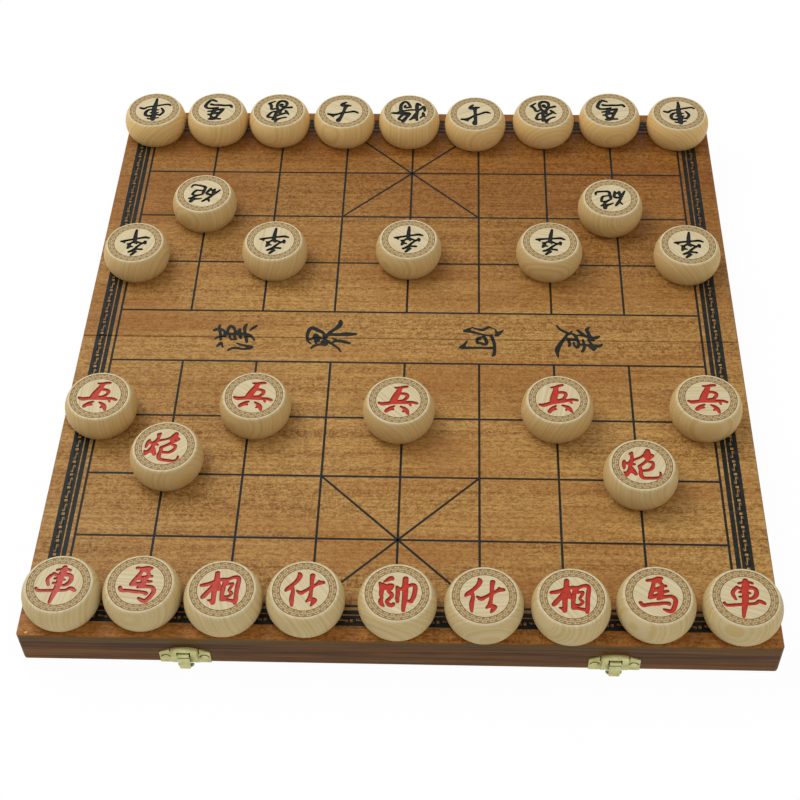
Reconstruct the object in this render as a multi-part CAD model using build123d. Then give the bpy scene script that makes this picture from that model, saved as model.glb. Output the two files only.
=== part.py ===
from build123d import *
import os

# A folding xiangqi board box, opened flat as a board with its pieces set out.
#
# Two shallow wooden trays are hinged along the river. Opened flat, their closed sides make the
# board, and their hollows face down. Folded shut, the hollows meet and hold the pieces, and two
# sprung latches on the near tray hook under keepers on the far tray.
#
# Millimetres. X runs along the river, Y away from the red player and Z up. The origin is the
# middle of the fold, at the level of the surface that the open box stands on.

# ---- trays -------------------------------------------------------------------------------
BOARD_WIDTH = 400.0  # along the river
HALF_DEPTH = 215.0  # one tray, from the fold to its outer face
WALL_HEIGHT = 17.0
WALL = 10.0  # thickness of the frame's walls
REBATE = 5.0  # how far a side wall's end is let into the walls it meets
PANEL = 5.0  # thickness of the playing panel
CORNER_ROUND = 2.0  # outer upright corners, and the lower edges at the sides
EASED_EDGE = 0.5  # small chamfer round a panel's top
FOLD_GAP = 0.3  # between the two halves when open
RIM_GAP = 0.2  # between the two rims when shut
CUT_PAST = 1.0  # how far a cutting shape runs past what it cuts

# ---- the printed board, where the pieces stand --------------------------------------------
FILE_PITCH = 44.7  # across, between the nine files
RANK_STEPS = 4  # from the river to the last rank of each half
RIVER = 42.0  # between the two ranks that face each other
END_MARGIN = 20.8  # from the last rank to the board's edge
RANK_PITCH = (HALF_DEPTH - RIVER / 2 - END_MARGIN) / RANK_STEPS
PRINT_RIGHT = -1.7  # how far the whole print was laid off the board's middle
PRINT_AWAY = 1.2
SOLDIERS = 5  # in a row
SET_DOWN = 0.5  # the step in which a piece's place off its crossing is counted

# ---- playing pieces ----------------------------------------------------------------------
PIECE_RADIUS = 20.8  # at its waist
PIECE_FACE_RADIUS = 17.8  # flat top and bottom
PIECE_HEIGHT = 18.3
PIECE_RIM_ROUND = 1.0  # where the flat faces meet the side

# ---- fold hinges -------------------------------------------------------------------------
HINGE_FROM_MIDDLE = 120.0
HINGE_LENGTH = 30.0
LEAF_HEIGHT = 11.0  # above the rim
LEAF = 0.8  # sheet thickness
KNUCKLES = 5
KNUCKLE_GAP = 0.2  # between neighbouring knuckles
BARREL_RADIUS = 1.2
HINGE_PIN_RADIUS = 0.6
BARREL_CLEARANCE = 0.3  # between a barrel and the wood cut away for it
PIN_CLEARANCE = 0.05  # all round every hinge and latch pin
MORTISE_CLEARANCE = 0.1  # round the edges of a leaf let into the wood
HINGE_SCREW_SPACING = 10.0

# ---- latches -----------------------------------------------------------------------------
LATCH_PLACES = (-112.5, 113.8)  # along the wall, each fitted by eye
BRASS = 0.8  # sheet thickness of bases, levers and keepers
BASE_WIDTH = 27.0
BASE_END_HEIGHT = 9.5  # of its ears, at their ends
BASE_EAR_HEIGHT = 12.0  # of its ears, where they meet the housing
HOUSING_TOP_WIDTH = 14.6
HOUSING_FOOT_WIDTH = 15.2
HOUSING_HEIGHT = 13.6
HOUSING_DEPTH = 3.5  # how far the housing's top stands off the wall; its foot is flush with the ears
HOUSING_ROUND = 3.0  # upper corners of the housing
HOUSING_EASE = 0.5  # chamfer round the housing's front
FOOT_NOTCH = 1.5  # height of the notch in the base's foot that takes the keeper's tongue
FOOT_NOTCH_WIDTH = 10.0
WINDOW_WIDTH = 7.2
WINDOW_LOW = 8.2
WINDOW_HIGH = 12.7
LATCH_PIN_RADIUS = 0.6
LATCH_PIN_OUT = 1.5  # from the wall to the pin's axis
LATCH_PIN_UP = 11.3  # from the rim to the pin's axis
LEVER_WIDTH = 6.0
LEVER_OUT = 5.2  # from the wall to the tongue's outer face
LEVER_BEND = 1.2  # outer radius of the tongue's upper bend
LEVER_TIP_ROUND = 1.0  # lower corners of the tongue
LEVER_EYE_RADIUS = 1.2
HOOK_WIDTH = 10.6  # of the hook's inner lip
HOOK_IN = 1.4  # from the wall to the hook's inner lip
HOOK_LIP = 0.5  # how far that lip turns up
KEEPER_WIDTH = 20.0
KEEPER_HEIGHT = 9.0
KEEPER_ROUND = 1.5  # upper corners of the keeper
KEEPER_TONGUE_WIDTH = 9.0
KEEPER_TONGUE_OUT = 2.6
KEEPER_STANDOFF = 0.2  # between the keeper's tongue and the wall that it passes

# ---- fasteners ---------------------------------------------------------------------------
HINGE_SCREW_HEAD = 1.7  # radii
HINGE_SCREW_SHANK = 0.9
HINGE_SCREW_LENGTH = 8.0
LATCH_SCREW_HEAD = 2.0
LATCH_SCREW_SHANK = 1.0
LATCH_SCREW_DOME = 0.9
LATCH_SCREW_LENGTH = 7.0
LATCH_SCREW_FROM_END = 3.3
LATCH_SCREW_UP = 4.6
KEEPER_SCREW_FROM_END = 3.0
SCREW_CLEARANCE = 0.05
BRAD_SHANK = 0.6
BRAD_HEAD = 1.0
BRAD_HEAD_HEIGHT = 0.8
BRAD_LENGTH = 15.0
BRAD_SUNK = 0.3  # head below the panel's face
BRAD_IN = 2.5  # from a panel's front and fold edges
BRAD_IN_SIDE = 5.0  # from its side edges
BRAD_CLEARANCE = 0.05

# ---- levels and places that follow -------------------------------------------------------
AXIS_LEVEL = BARREL_RADIUS  # the barrels touch the table
RIM_LEVEL = AXIS_LEVEL + RIM_GAP / 2
PANEL_LEVEL = RIM_LEVEL + WALL_HEIGHT
TOP_LEVEL = PANEL_LEVEL + PANEL
FOLD_FACE = FOLD_GAP / 2
BELOW_RIM = RIM_LEVEL  # hooks and keepers reach down to the table
LEAF_BACK = FOLD_FACE + LEAF

os.makedirs("parts", exist_ok=True)


def save(name, *solids):
    """Write one node: a single solid, or a group of like solids."""
    shape = solids[0] if len(solids) == 1 else Compound(children=list(solids))
    export_step(shape, f"parts/{name}.step")


def block(x0, x1, y0, y1, z0, z1):
    """A box between two corners."""
    return Pos((x0 + x1) / 2, (y0 + y1) / 2, (z0 + z1) / 2) * Box(x1 - x0, y1 - y0, z1 - z0)


def rod(radius, start, direction, length):
    """A round rod from a point, along a direction."""
    return extrude(Plane(start, z_dir=direction) * Circle(radius), length)


def across(radius, y, z, x0, x1):
    """A round rod along X."""
    return rod(radius, (x0, y, z), (1, 0, 0), x1 - x0)


def both(offset):
    """The two places either side of the middle."""
    return (-offset, offset)


# ---- brads -------------------------------------------------------------------------------
def brad_places():
    """Where the brads go through the near panel, near its four corners."""
    x = BOARD_WIDTH / 2 - BRAD_IN_SIDE
    ends = (-HALF_DEPTH + BRAD_IN, -FOLD_FACE - BRAD_IN)
    return [(side, y) for side in both(x) for y in ends]


def brad(x, y, spare=0.0):
    """One brad, or with spare, the hole that it fills, open to the top."""
    top = TOP_LEVEL - BRAD_SUNK
    head_top = top if spare == 0 else TOP_LEVEL + PANEL
    under_head = top - BRAD_HEAD_HEIGHT - spare
    head = rod(BRAD_HEAD + spare, (x, y, under_head), (0, 0, 1), head_top - under_head)
    shank = rod(BRAD_SHANK + spare, (x, y, top - BRAD_LENGTH - spare), (0, 0, 1), BRAD_LENGTH - BRAD_SUNK)
    return head + shank


def brad_holes():
    return [brad(x, y, BRAD_CLEARANCE) for x, y in brad_places()]


# ---- panels and frame walls of the near tray ---------------------------------------------
def plan(y0, y1):
    """A full-width rectangle seen from above, with its outer corners rounded."""
    outline = Pos(0, (y0 + y1) / 2) * Rectangle(BOARD_WIDTH, y1 - y0)
    return fillet(outline.vertices().group_by(Axis.Y)[0], CORNER_ROUND)


def playing_panel():
    """The panel that makes half of the board, glued and pinned over its frame."""
    outline = plan(-HALF_DEPTH, -FOLD_FACE)
    panel = Pos(0, 0, PANEL_LEVEL) * extrude(outline, PANEL)
    panel = chamfer(panel.faces().sort_by(Axis.Z)[-1].edges(), EASED_EDGE)
    return panel - brad_holes()


def end_rebates(y0, y1):
    """The steps that take a side wall's ends, at both ends of a wall that runs the full width."""
    half = BOARD_WIDTH / 2
    left = block(-half - CUT_PAST, -half + WALL, y0, y1, 0, PANEL_LEVEL + CUT_PAST)
    return [left, mirror(left, about=Plane.YZ)]


def outer_wall():
    """The wall furthest from the fold, which carries a pair of latches or keepers."""
    outline = plan(-HALF_DEPTH, -HALF_DEPTH + WALL)
    wall = Pos(0, 0, RIM_LEVEL) * extrude(outline, WALL_HEIGHT)
    face = Pos(0, RIM_LEVEL + WALL_HEIGHT / 2) * Rectangle(BOARD_WIDTH, WALL_HEIGHT)
    face = fillet(face.vertices().group_by(Axis.Y)[0], CORNER_ROUND)
    softened = extrude(Plane.XZ * face, HALF_DEPTH + CUT_PAST)
    wall = wall & softened
    inner = -HALF_DEPTH + WALL
    return wall - end_rebates(inner - REBATE, inner + CUT_PAST) - brad_holes()


def side_wall():
    """The wall at the left, its ends let into the outer wall and the fold wall."""
    half = BOARD_WIDTH / 2
    section = Pos(-half + WALL / 2, RIM_LEVEL + WALL_HEIGHT / 2) * Rectangle(WALL, WALL_HEIGHT)
    outer_low = section.vertices().sort_by_distance((-half, RIM_LEVEL, 0))[0]
    section = fillet(outer_low, CORNER_ROUND)
    front = -HALF_DEPTH + WALL - REBATE
    back = -FOLD_FACE - WALL + REBATE
    return Pos(0, back, 0) * extrude(Plane.XZ * section, back - front)


def fold_wall():
    """The wall along the fold, cut for the hinge leaves, their barrels and their screws."""
    inner = -FOLD_FACE - WALL
    wall = block(-BOARD_WIDTH / 2, BOARD_WIDTH / 2, inner, -FOLD_FACE, RIM_LEVEL, PANEL_LEVEL)
    wall -= end_rebates(inner - CUT_PAST, inner + REBATE)
    wall -= brad_holes()
    for middle in both(HINGE_FROM_MIDDLE):
        x0 = middle - HINGE_LENGTH / 2 - MORTISE_CLEARANCE
        x1 = middle + HINGE_LENGTH / 2 + MORTISE_CLEARANCE
        mortise_top = RIM_LEVEL + LEAF_HEIGHT + MORTISE_CLEARANCE
        wall -= block(x0, x1, -LEAF_BACK, 0, 0, mortise_top)
        wall -= across(BARREL_RADIUS + BARREL_CLEARANCE, 0, AXIS_LEVEL, x0, x1)
        wall -= [hinge_screw(x, SCREW_CLEARANCE) for x in hinge_screw_places(middle)]
    return wall


# ---- hinges ------------------------------------------------------------------------------
def hinge_screw_places(middle):
    return [middle + k * HINGE_SCREW_SPACING for k in (-1, 0, 1)]


def hinge_screw(x, spare=0.0):
    """A countersunk screw through a leaf, or with spare, the hole that it fills."""
    z = RIM_LEVEL + (LEAF_HEIGHT + BARREL_RADIUS) / 2
    face = Plane((x, -FOLD_FACE, z), z_dir=(0, -1, 0))
    head = HINGE_SCREW_HEAD + spare
    shank = HINGE_SCREW_SHANK + spare
    cone = face * Pos(0, 0, LEAF / 2) * Cone(head, shank, LEAF)
    return cone + extrude(face * Circle(shank), HINGE_SCREW_LENGTH + spare)


def hinge_leaf(middle, first):
    """A leaf on the near side. Its knuckles are every second one, counted from first."""
    x0 = middle - HINGE_LENGTH / 2
    x1 = middle + HINGE_LENGTH / 2
    plate_low = AXIS_LEVEL + BARREL_RADIUS + KNUCKLE_GAP
    leaf = block(x0, x1, -LEAF_BACK, -FOLD_FACE, plate_low, RIM_LEVEL + LEAF_HEIGHT)
    share = HINGE_LENGTH / KNUCKLES
    for k in range(first, KNUCKLES, 2):
        a = x0 + k * share + (KNUCKLE_GAP / 2 if k > 0 else 0)
        b = x0 + (k + 1) * share - (KNUCKLE_GAP / 2 if k < KNUCKLES - 1 else 0)
        leaf += block(a, b, -LEAF_BACK, -FOLD_FACE, AXIS_LEVEL, plate_low)
        leaf += across(BARREL_RADIUS, 0, AXIS_LEVEL, a, b)
    leaf -= across(HINGE_PIN_RADIUS + PIN_CLEARANCE, 0, AXIS_LEVEL, x0 - CUT_PAST, x1 + CUT_PAST)
    leaf -= [hinge_screw(x, SCREW_CLEARANCE) for x in hinge_screw_places(middle)]
    return leaf


def hinge_pin(middle):
    return across(
        HINGE_PIN_RADIUS, 0, AXIS_LEVEL, middle - HINGE_LENGTH / 2, middle + HINGE_LENGTH / 2
    )


# ---- latch and keeper, made at the middle of the near wall's outer face -------------------
# In these, out is the distance from the wall and up is the height above the rim.
def on_wall(outline, out0, out1):
    """Sheet of an outline drawn on the wall, between two distances from it."""
    plane = Plane((0, -HALF_DEPTH - out0, RIM_LEVEL), x_dir=(1, 0, 0), z_dir=(0, -1, 0))
    return extrude(plane * outline, out1 - out0)


def wall_block(half_width, out0, out1, up0, up1):
    return block(
        -half_width, half_width, -HALF_DEPTH - out1, -HALF_DEPTH - out0, RIM_LEVEL + up0, RIM_LEVEL + up1
    )


def wall_screw(x, up, sheet, spare=0.0):
    """A domed screw through sheet metal into the wall, or with spare, its hole."""
    face = Plane((x, -HALF_DEPTH - sheet, RIM_LEVEL + up), z_dir=(0, 1, 0))
    shank = extrude(face * Circle(LATCH_SCREW_SHANK + spare), sheet + LATCH_SCREW_LENGTH + spare)
    if spare:
        return shank
    dome = LATCH_SCREW_DOME
    ball = (LATCH_SCREW_HEAD**2 + dome**2) / (2 * dome)
    outline = make_face(
        [
            Line((0, 0), (LATCH_SCREW_HEAD, 0)),
            RadiusArc((LATCH_SCREW_HEAD, 0), (0, dome), -ball),
            Line((0, dome), (0, 0)),
        ]
    )
    head = revolve(Plane.XZ * outline, Axis.Z)
    outward = Plane((x, -HALF_DEPTH - sheet, RIM_LEVEL + up), z_dir=(0, -1, 0))
    return outward * head + shank


def latch_screw_places():
    x = BASE_WIDTH / 2 - LATCH_SCREW_FROM_END
    return [(side, LATCH_SCREW_UP) for side in both(x)]


def keeper_screw_places():
    x = KEEPER_WIDTH / 2 - KEEPER_SCREW_FROM_END
    return [(side, KEEPER_HEIGHT / 2) for side in both(x)]


def housing_outline(inset):
    """The housing seen from the front: wider at its foot, with round upper corners."""
    foot = HOUSING_FOOT_WIDTH / 2 - inset
    head = HOUSING_TOP_WIDTH / 2 - inset
    top = HOUSING_HEIGHT - inset
    outline = Polygon((-foot, 0), (foot, 0), (head, top), (-head, top), align=None)
    return fillet(outline.vertices().group_by(Axis.Y)[-1], HOUSING_ROUND - inset)


def behind_front(foot_out, top_out):
    """All that lies behind a front that leans out from its foot to its top."""
    side = Polygon(
        (-HALF_DEPTH + CUT_PAST, RIM_LEVEL),
        (-HALF_DEPTH - foot_out, RIM_LEVEL),
        (-HALF_DEPTH - top_out, RIM_LEVEL + HOUSING_HEIGHT),
        (-HALF_DEPTH + CUT_PAST, RIM_LEVEL + HOUSING_HEIGHT),
        align=None,
    )
    return extrude(Plane.YZ * side, BASE_WIDTH / 2, both=True)


def latch_base():
    """Two screwed ears and, pressed out between them, the housing with its window."""
    end = BASE_WIDTH / 2
    ear = HOUSING_TOP_WIDTH / 2
    ears = Polygon(
        (-end, 0),
        (end, 0),
        (end, BASE_END_HEIGHT),
        (ear, BASE_EAR_HEIGHT),
        (-ear, BASE_EAR_HEIGHT),
        (-end, BASE_END_HEIGHT),
        align=None,
    )
    housing = on_wall(housing_outline(0), 0, HOUSING_DEPTH) & behind_front(BRASS, HOUSING_DEPTH)
    housing = chamfer(housing.faces().sort_by(Axis.Y)[0].edges().sort_by(Axis.Z)[1:], HOUSING_EASE)
    base = on_wall(ears, 0, BRASS) + housing
    hollow = on_wall(housing_outline(BRASS), -CUT_PAST, HOUSING_DEPTH)
    base -= hollow & behind_front(0, HOUSING_DEPTH - BRASS)
    through = HOUSING_DEPTH + CUT_PAST
    base -= wall_block(WINDOW_WIDTH / 2, 0, through, WINDOW_LOW, WINDOW_HIGH)
    base -= wall_block(FOOT_NOTCH_WIDTH / 2, -CUT_PAST, through, -CUT_PAST, FOOT_NOTCH)
    base -= latch_pin(LATCH_PIN_RADIUS + PIN_CLEARANCE, BASE_WIDTH / 2)
    base -= [wall_screw(x, up, BRASS, SCREW_CLEARANCE) for x, up in latch_screw_places()]
    return base


def latch_pin(radius, half_length):
    y = -HALF_DEPTH - LATCH_PIN_OUT
    return across(radius, y, RIM_LEVEL + LATCH_PIN_UP, -half_length, half_length)


def housing_half_width(up):
    """Half the housing's width at a height."""
    slope = (HOUSING_FOOT_WIDTH - HOUSING_TOP_WIDTH) / 2 / HOUSING_HEIGHT
    return HOUSING_FOOT_WIDTH / 2 - slope * up


def latch_lever():
    """An eye on the pin, a strap out through the window, the tongue and the hook at its foot."""
    half = LEVER_WIDTH / 2
    strap_top = LATCH_PIN_UP + BRASS / 2
    strap = wall_block(half, LATCH_PIN_OUT, LEVER_OUT, strap_top - BRASS, strap_top)
    tongue = wall_block(half, LEVER_OUT - BRASS, LEVER_OUT, -BELOW_RIM, strap_top)
    bent = strap + tongue
    outer_bend = bent.edges().filter_by(Axis.X).sort_by_distance(
        (0, -HALF_DEPTH - LEVER_OUT, RIM_LEVEL + strap_top)
    )[0]
    bent = fillet(outer_bend, LEVER_BEND)
    foot = bent.edges().filter_by(Axis.Y).group_by(Axis.Z)[0]
    bent = fillet(foot, LEVER_TIP_ROUND)
    lip = HOOK_WIDTH / 2
    hook = Polygon(
        (-lip, -HALF_DEPTH - HOOK_IN),
        (-half + LEVER_TIP_ROUND, -HALF_DEPTH - LEVER_OUT),
        (half - LEVER_TIP_ROUND, -HALF_DEPTH - LEVER_OUT),
        (lip, -HALF_DEPTH - HOOK_IN),
        align=None,
    )
    floor_level = RIM_LEVEL - BELOW_RIM
    bent += Pos(0, 0, floor_level) * extrude(hook, BRASS)
    bent += wall_block(lip, HOOK_IN, HOOK_IN + BRASS, -BELOW_RIM, -BELOW_RIM + BRASS + HOOK_LIP)
    bent += latch_pin(LEVER_EYE_RADIUS, half)
    return bent - latch_pin(LATCH_PIN_RADIUS + PIN_CLEARANCE, half + CUT_PAST)


def keeper():
    """A screwed plate whose tongue reaches past the rim and turns out for the hook."""
    plate = Pos(0, KEEPER_HEIGHT / 2) * Rectangle(KEEPER_WIDTH, KEEPER_HEIGHT)
    plate = fillet(plate.vertices().group_by(Axis.Y)[-1], KEEPER_ROUND)
    body = on_wall(plate, 0, BRASS)
    half = KEEPER_TONGUE_WIDTH / 2
    body += wall_block(half, KEEPER_STANDOFF, KEEPER_STANDOFF + BRASS, -BELOW_RIM, BRASS)
    body += wall_block(half, KEEPER_STANDOFF, KEEPER_TONGUE_OUT, -BELOW_RIM, -BELOW_RIM + BRASS)
    return body - [wall_screw(x, up, BRASS, SCREW_CLEARANCE) for x, up in keeper_screw_places()]


# ---- playing pieces ----------------------------------------------------------------------
def playing_piece():
    """A turned disc: flat faces, eased rims and a side that swells to its waist."""
    waist = ThreePointArc(
        (PIECE_FACE_RADIUS, 0), (PIECE_RADIUS, PIECE_HEIGHT / 2), (PIECE_FACE_RADIUS, PIECE_HEIGHT)
    )
    outline = make_face(
        [
            Line((0, 0), (PIECE_FACE_RADIUS, 0)),
            waist,
            Line((PIECE_FACE_RADIUS, PIECE_HEIGHT), (0, PIECE_HEIGHT)),
            Line((0, PIECE_HEIGHT), (0, 0)),
        ]
    )
    rims = outline.vertices().group_by(Axis.X)[-1]
    return revolve(Plane.XZ * fillet(rims, PIECE_RIM_ROUND), Axis.Z)


# How each piece was set down off its crossing, (right, away) in steps, from the left of each row.
FAR_BACK = [(1, -1), (-2, 0), (-6, -1), (-6, -2), (-6, -2), (-5, -6), (-1, 0), (0, 4), (3, -2)]
FAR_CANNONS = [(-1, 2), (-9, -1)]
FAR_SOLDIERS = [(12, -4), (9, 1), (0, 6), (-1, 3), (-7, 0)]
NEAR_SOLDIERS = [(7, -3), (8, 0), (-4, -4), (0, 0), (-8, 4)]
NEAR_CANNONS = [(4, 10), (0, -7)]
NEAR_BACK = [(6, -3), (2, -1), (-1, -6), (-4, -5), (3, -7), (4, -9), (5, -9), (4, -5), (4, -6)]
BACK_NAMES = [
    "chariot_left",
    "horse_left",
    "elephant_left",
    "advisor_left",
    "general",
    "advisor_right",
    "elephant_right",
    "horse_right",
    "chariot_right",
]
CANNON_NAMES = ["cannon_left", "cannon_right"]
SOLDIER_NAMES = [f"soldier_{k + 1}" for k in range(SOLDIERS)]
BACK_FILES = [-4, -3, -2, -1, 0, 1, 2, 3, 4]  # counted from the middle
CANNON_FILES = [-3, 3]
SOLDIER_FILES = [-4, -2, 0, 2, 4]
BACK_RANK, CANNON_RANK, SOLDIER_RANK = RANK_STEPS, 2, 1  # counted from the river


def row(colour, side, rank, files, names, offs):
    """One row of pieces: (name, x, y) for each. side is -1 near and 1 far."""
    y = PRINT_AWAY + side * (RIVER / 2 + rank * RANK_PITCH)
    return [
        (f"{colour}_{name}", PRINT_RIGHT + file * FILE_PITCH + SET_DOWN * right, y + SET_DOWN * away)
        for file, name, (right, away) in zip(files, names, offs)
    ]


def set_out():
    """Both sides' pieces in the opening position."""
    return (
        row("black", 1, BACK_RANK, BACK_FILES, BACK_NAMES, FAR_BACK)
        + row("black", 1, CANNON_RANK, CANNON_FILES, CANNON_NAMES, FAR_CANNONS)
        + row("black", 1, SOLDIER_RANK, SOLDIER_FILES, SOLDIER_NAMES, FAR_SOLDIERS)
        + row("red", -1, SOLDIER_RANK, SOLDIER_FILES, SOLDIER_NAMES, NEAR_SOLDIERS)
        + row("red", -1, CANNON_RANK, CANNON_FILES, CANNON_NAMES, NEAR_CANNONS)
        + row("red", -1, BACK_RANK, BACK_FILES, BACK_NAMES, NEAR_BACK)
    )


# ---- build -------------------------------------------------------------------------------
def to_far(solid):
    """The near tray's piece as it stands in the far tray, mirrored over the fold."""
    return mirror(solid, about=Plane.XZ)


def screwed_front(places, spare):
    """Screws, or with spare, their holes, at a pair of fittings on the near outer wall."""
    return [
        Pos(middle, 0, 0) * wall_screw(x, up, BRASS, spare)
        for middle in LATCH_PLACES
        for x, up in places
    ]


panel = playing_panel()
save("near_panel", panel)
save("far_panel", to_far(panel))

blank = outer_wall()
save("near_outer_wall", blank - screwed_front(latch_screw_places(), SCREW_CLEARANCE))
save("far_outer_wall", to_far(blank - screwed_front(keeper_screw_places(), SCREW_CLEARANCE)))

left = side_wall()
right = mirror(left, about=Plane.YZ)
save("near_left_wall", left)
save("near_right_wall", right)
save("far_left_wall", to_far(left))
save("far_right_wall", to_far(right))

along_fold = fold_wall()
save("near_fold_wall", along_fold)
save("far_fold_wall", to_far(along_fold))

near_brads = [brad(x, y) for x, y in brad_places()]
save("near_brads", *near_brads)
save("far_brads", *[to_far(nail) for nail in near_brads])

for name, middle in zip(("left", "right"), both(HINGE_FROM_MIDDLE)):
    save(f"hinge_{name}_near_leaf", hinge_leaf(middle, 0))
    save(f"hinge_{name}_far_leaf", to_far(hinge_leaf(middle, 1)))
save("hinge_pins", *[hinge_pin(middle) for middle in both(HINGE_FROM_MIDDLE)])

leaf_screws = [hinge_screw(x) for middle in both(HINGE_FROM_MIDDLE) for x in hinge_screw_places(middle)]
save("hinge_screws_near", *leaf_screws)
save("hinge_screws_far", *[to_far(screw) for screw in leaf_screws])

base = latch_base()
lever = latch_lever()
catch = to_far(keeper())
for name, middle in zip(("left", "right"), LATCH_PLACES):
    save(f"latch_{name}_base", Pos(middle, 0, 0) * base)
    save(f"latch_{name}_lever", Pos(middle, 0, 0) * lever)
    save(f"keeper_{name}", Pos(middle, 0, 0) * catch)
axle = latch_pin(LATCH_PIN_RADIUS, housing_half_width(LATCH_PIN_UP))
save("latch_pins", *[Pos(middle, 0, 0) * axle for middle in LATCH_PLACES])
save("latch_screws", *screwed_front(latch_screw_places(), 0.0))
save("keeper_screws", *[to_far(screw) for screw in screwed_front(keeper_screw_places(), 0.0)])

disc = playing_piece()
for name, x, y in set_out():
    save(name, Pos(x, y, TOP_LEVEL) * disc)

folded = 2 * (RIM_LEVEL - AXIS_LEVEL + WALL_HEIGHT + PANEL)
print(f"board {BOARD_WIDTH:.0f} x {2 * HALF_DEPTH:.0f} mm, folded box {folded:.1f} mm thick")
print(f"inside {2 * WALL_HEIGHT + RIM_GAP:.1f} mm high, for pieces {PIECE_HEIGHT} mm high")
print(f"hook under keeper when shut: {KEEPER_TONGUE_OUT - HOOK_IN:.1f} mm")
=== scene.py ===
# %% [markdown]
# # A xiangqi box, opened flat with its pieces set out
# The real object is a pair of shallow wooden trays, hinged along one edge. Opened and turned over,
# their closed sides make the board, and the 32 turned pieces stand on it for the first move.
# The frame that is loaded here holds every part at its true size and place. This lesson adds what
# the eye sees: grain, print, carving, paint, brass and soft light.

import math

import bpy
import numpy as np
from mathutils import Matrix, Vector


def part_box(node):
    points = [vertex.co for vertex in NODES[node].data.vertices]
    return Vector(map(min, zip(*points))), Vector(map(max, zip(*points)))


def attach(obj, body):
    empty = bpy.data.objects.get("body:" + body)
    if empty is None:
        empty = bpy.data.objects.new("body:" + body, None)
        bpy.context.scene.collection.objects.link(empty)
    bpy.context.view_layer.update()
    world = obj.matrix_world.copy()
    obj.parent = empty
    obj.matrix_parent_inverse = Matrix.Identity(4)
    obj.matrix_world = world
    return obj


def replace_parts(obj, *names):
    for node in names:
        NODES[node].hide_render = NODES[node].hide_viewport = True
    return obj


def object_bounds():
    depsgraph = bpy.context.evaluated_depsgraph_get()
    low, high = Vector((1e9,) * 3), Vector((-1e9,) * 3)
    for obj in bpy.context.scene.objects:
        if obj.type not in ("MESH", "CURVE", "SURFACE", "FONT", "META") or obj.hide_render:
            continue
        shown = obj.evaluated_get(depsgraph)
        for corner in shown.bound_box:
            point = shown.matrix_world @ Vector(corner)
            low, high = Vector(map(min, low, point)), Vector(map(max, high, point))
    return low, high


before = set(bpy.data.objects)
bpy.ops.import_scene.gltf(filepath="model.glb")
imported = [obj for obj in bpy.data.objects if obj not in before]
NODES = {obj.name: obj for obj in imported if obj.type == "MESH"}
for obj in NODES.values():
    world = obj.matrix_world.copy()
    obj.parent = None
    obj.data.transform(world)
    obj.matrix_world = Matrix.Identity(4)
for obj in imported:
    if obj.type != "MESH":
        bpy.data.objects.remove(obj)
cad_low, cad_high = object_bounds()
MM = 0.001
rng = np.random.default_rng(seed=32)

near_low, near_high = (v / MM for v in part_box("near_panel"))
far_low, far_high = (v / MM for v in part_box("far_panel"))
TOP = near_high.z
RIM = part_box("near_outer_wall")[0].z / MM
print(f"{len(NODES)} nodes; playing surface {TOP:.1f} mm up, {far_high.y - near_low.y:.0f} mm deep")

# %% [markdown]
# ## Camera
# The photograph looks down on the board from in front with a normal lens. The place, the aim and a
# slight roll were worked out from the board's corners, so the render lines up with the photo. The
# three axes are built by hand here because a camera looks along its own -Z.

# %% Camera at the photograph's angle
CAMERA_AT = Vector((27.25, -638.26, 711.47)) * MM
CAMERA_AIM = Vector((-3.62, -49.39, 23.3)) * MM
CAMERA_ROLL = math.radians(-1.587)
LENS = 69.21

ahead = (CAMERA_AIM - CAMERA_AT).normalized()
level = ahead.cross(Vector((0, 0, 1))).normalized()
above = level.cross(ahead)
across = level * math.cos(CAMERA_ROLL) + above * math.sin(CAMERA_ROLL)
upward = above * math.cos(CAMERA_ROLL) - level * math.sin(CAMERA_ROLL)
camera = bpy.data.objects.new("camera", bpy.data.cameras.new("camera"))
camera.data.lens = LENS
camera.data.sensor_width = 36.0
camera.data.clip_start = 0.01
camera.matrix_world = Matrix((across, upward, -ahead)).transposed().to_4x4()
camera.matrix_world.translation = CAMERA_AT
scene = bpy.context.scene
scene.collection.objects.link(camera)
scene.camera = camera
scene.view_settings.view_transform = "Standard"
print(f"camera {(CAMERA_AT - CAMERA_AIM).length:.2f} m from its aim")

# %% [markdown]
# ## A short way to write materials
# A material is a small graph of nodes. Written out in full, each one takes several lines, so this
# helper adds a node, wires what it is given, and hands back the output. Every pattern starts from
# Object coordinates, which are metres on the real thing, so a 1 mm grain line is 1 mm wide.

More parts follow.
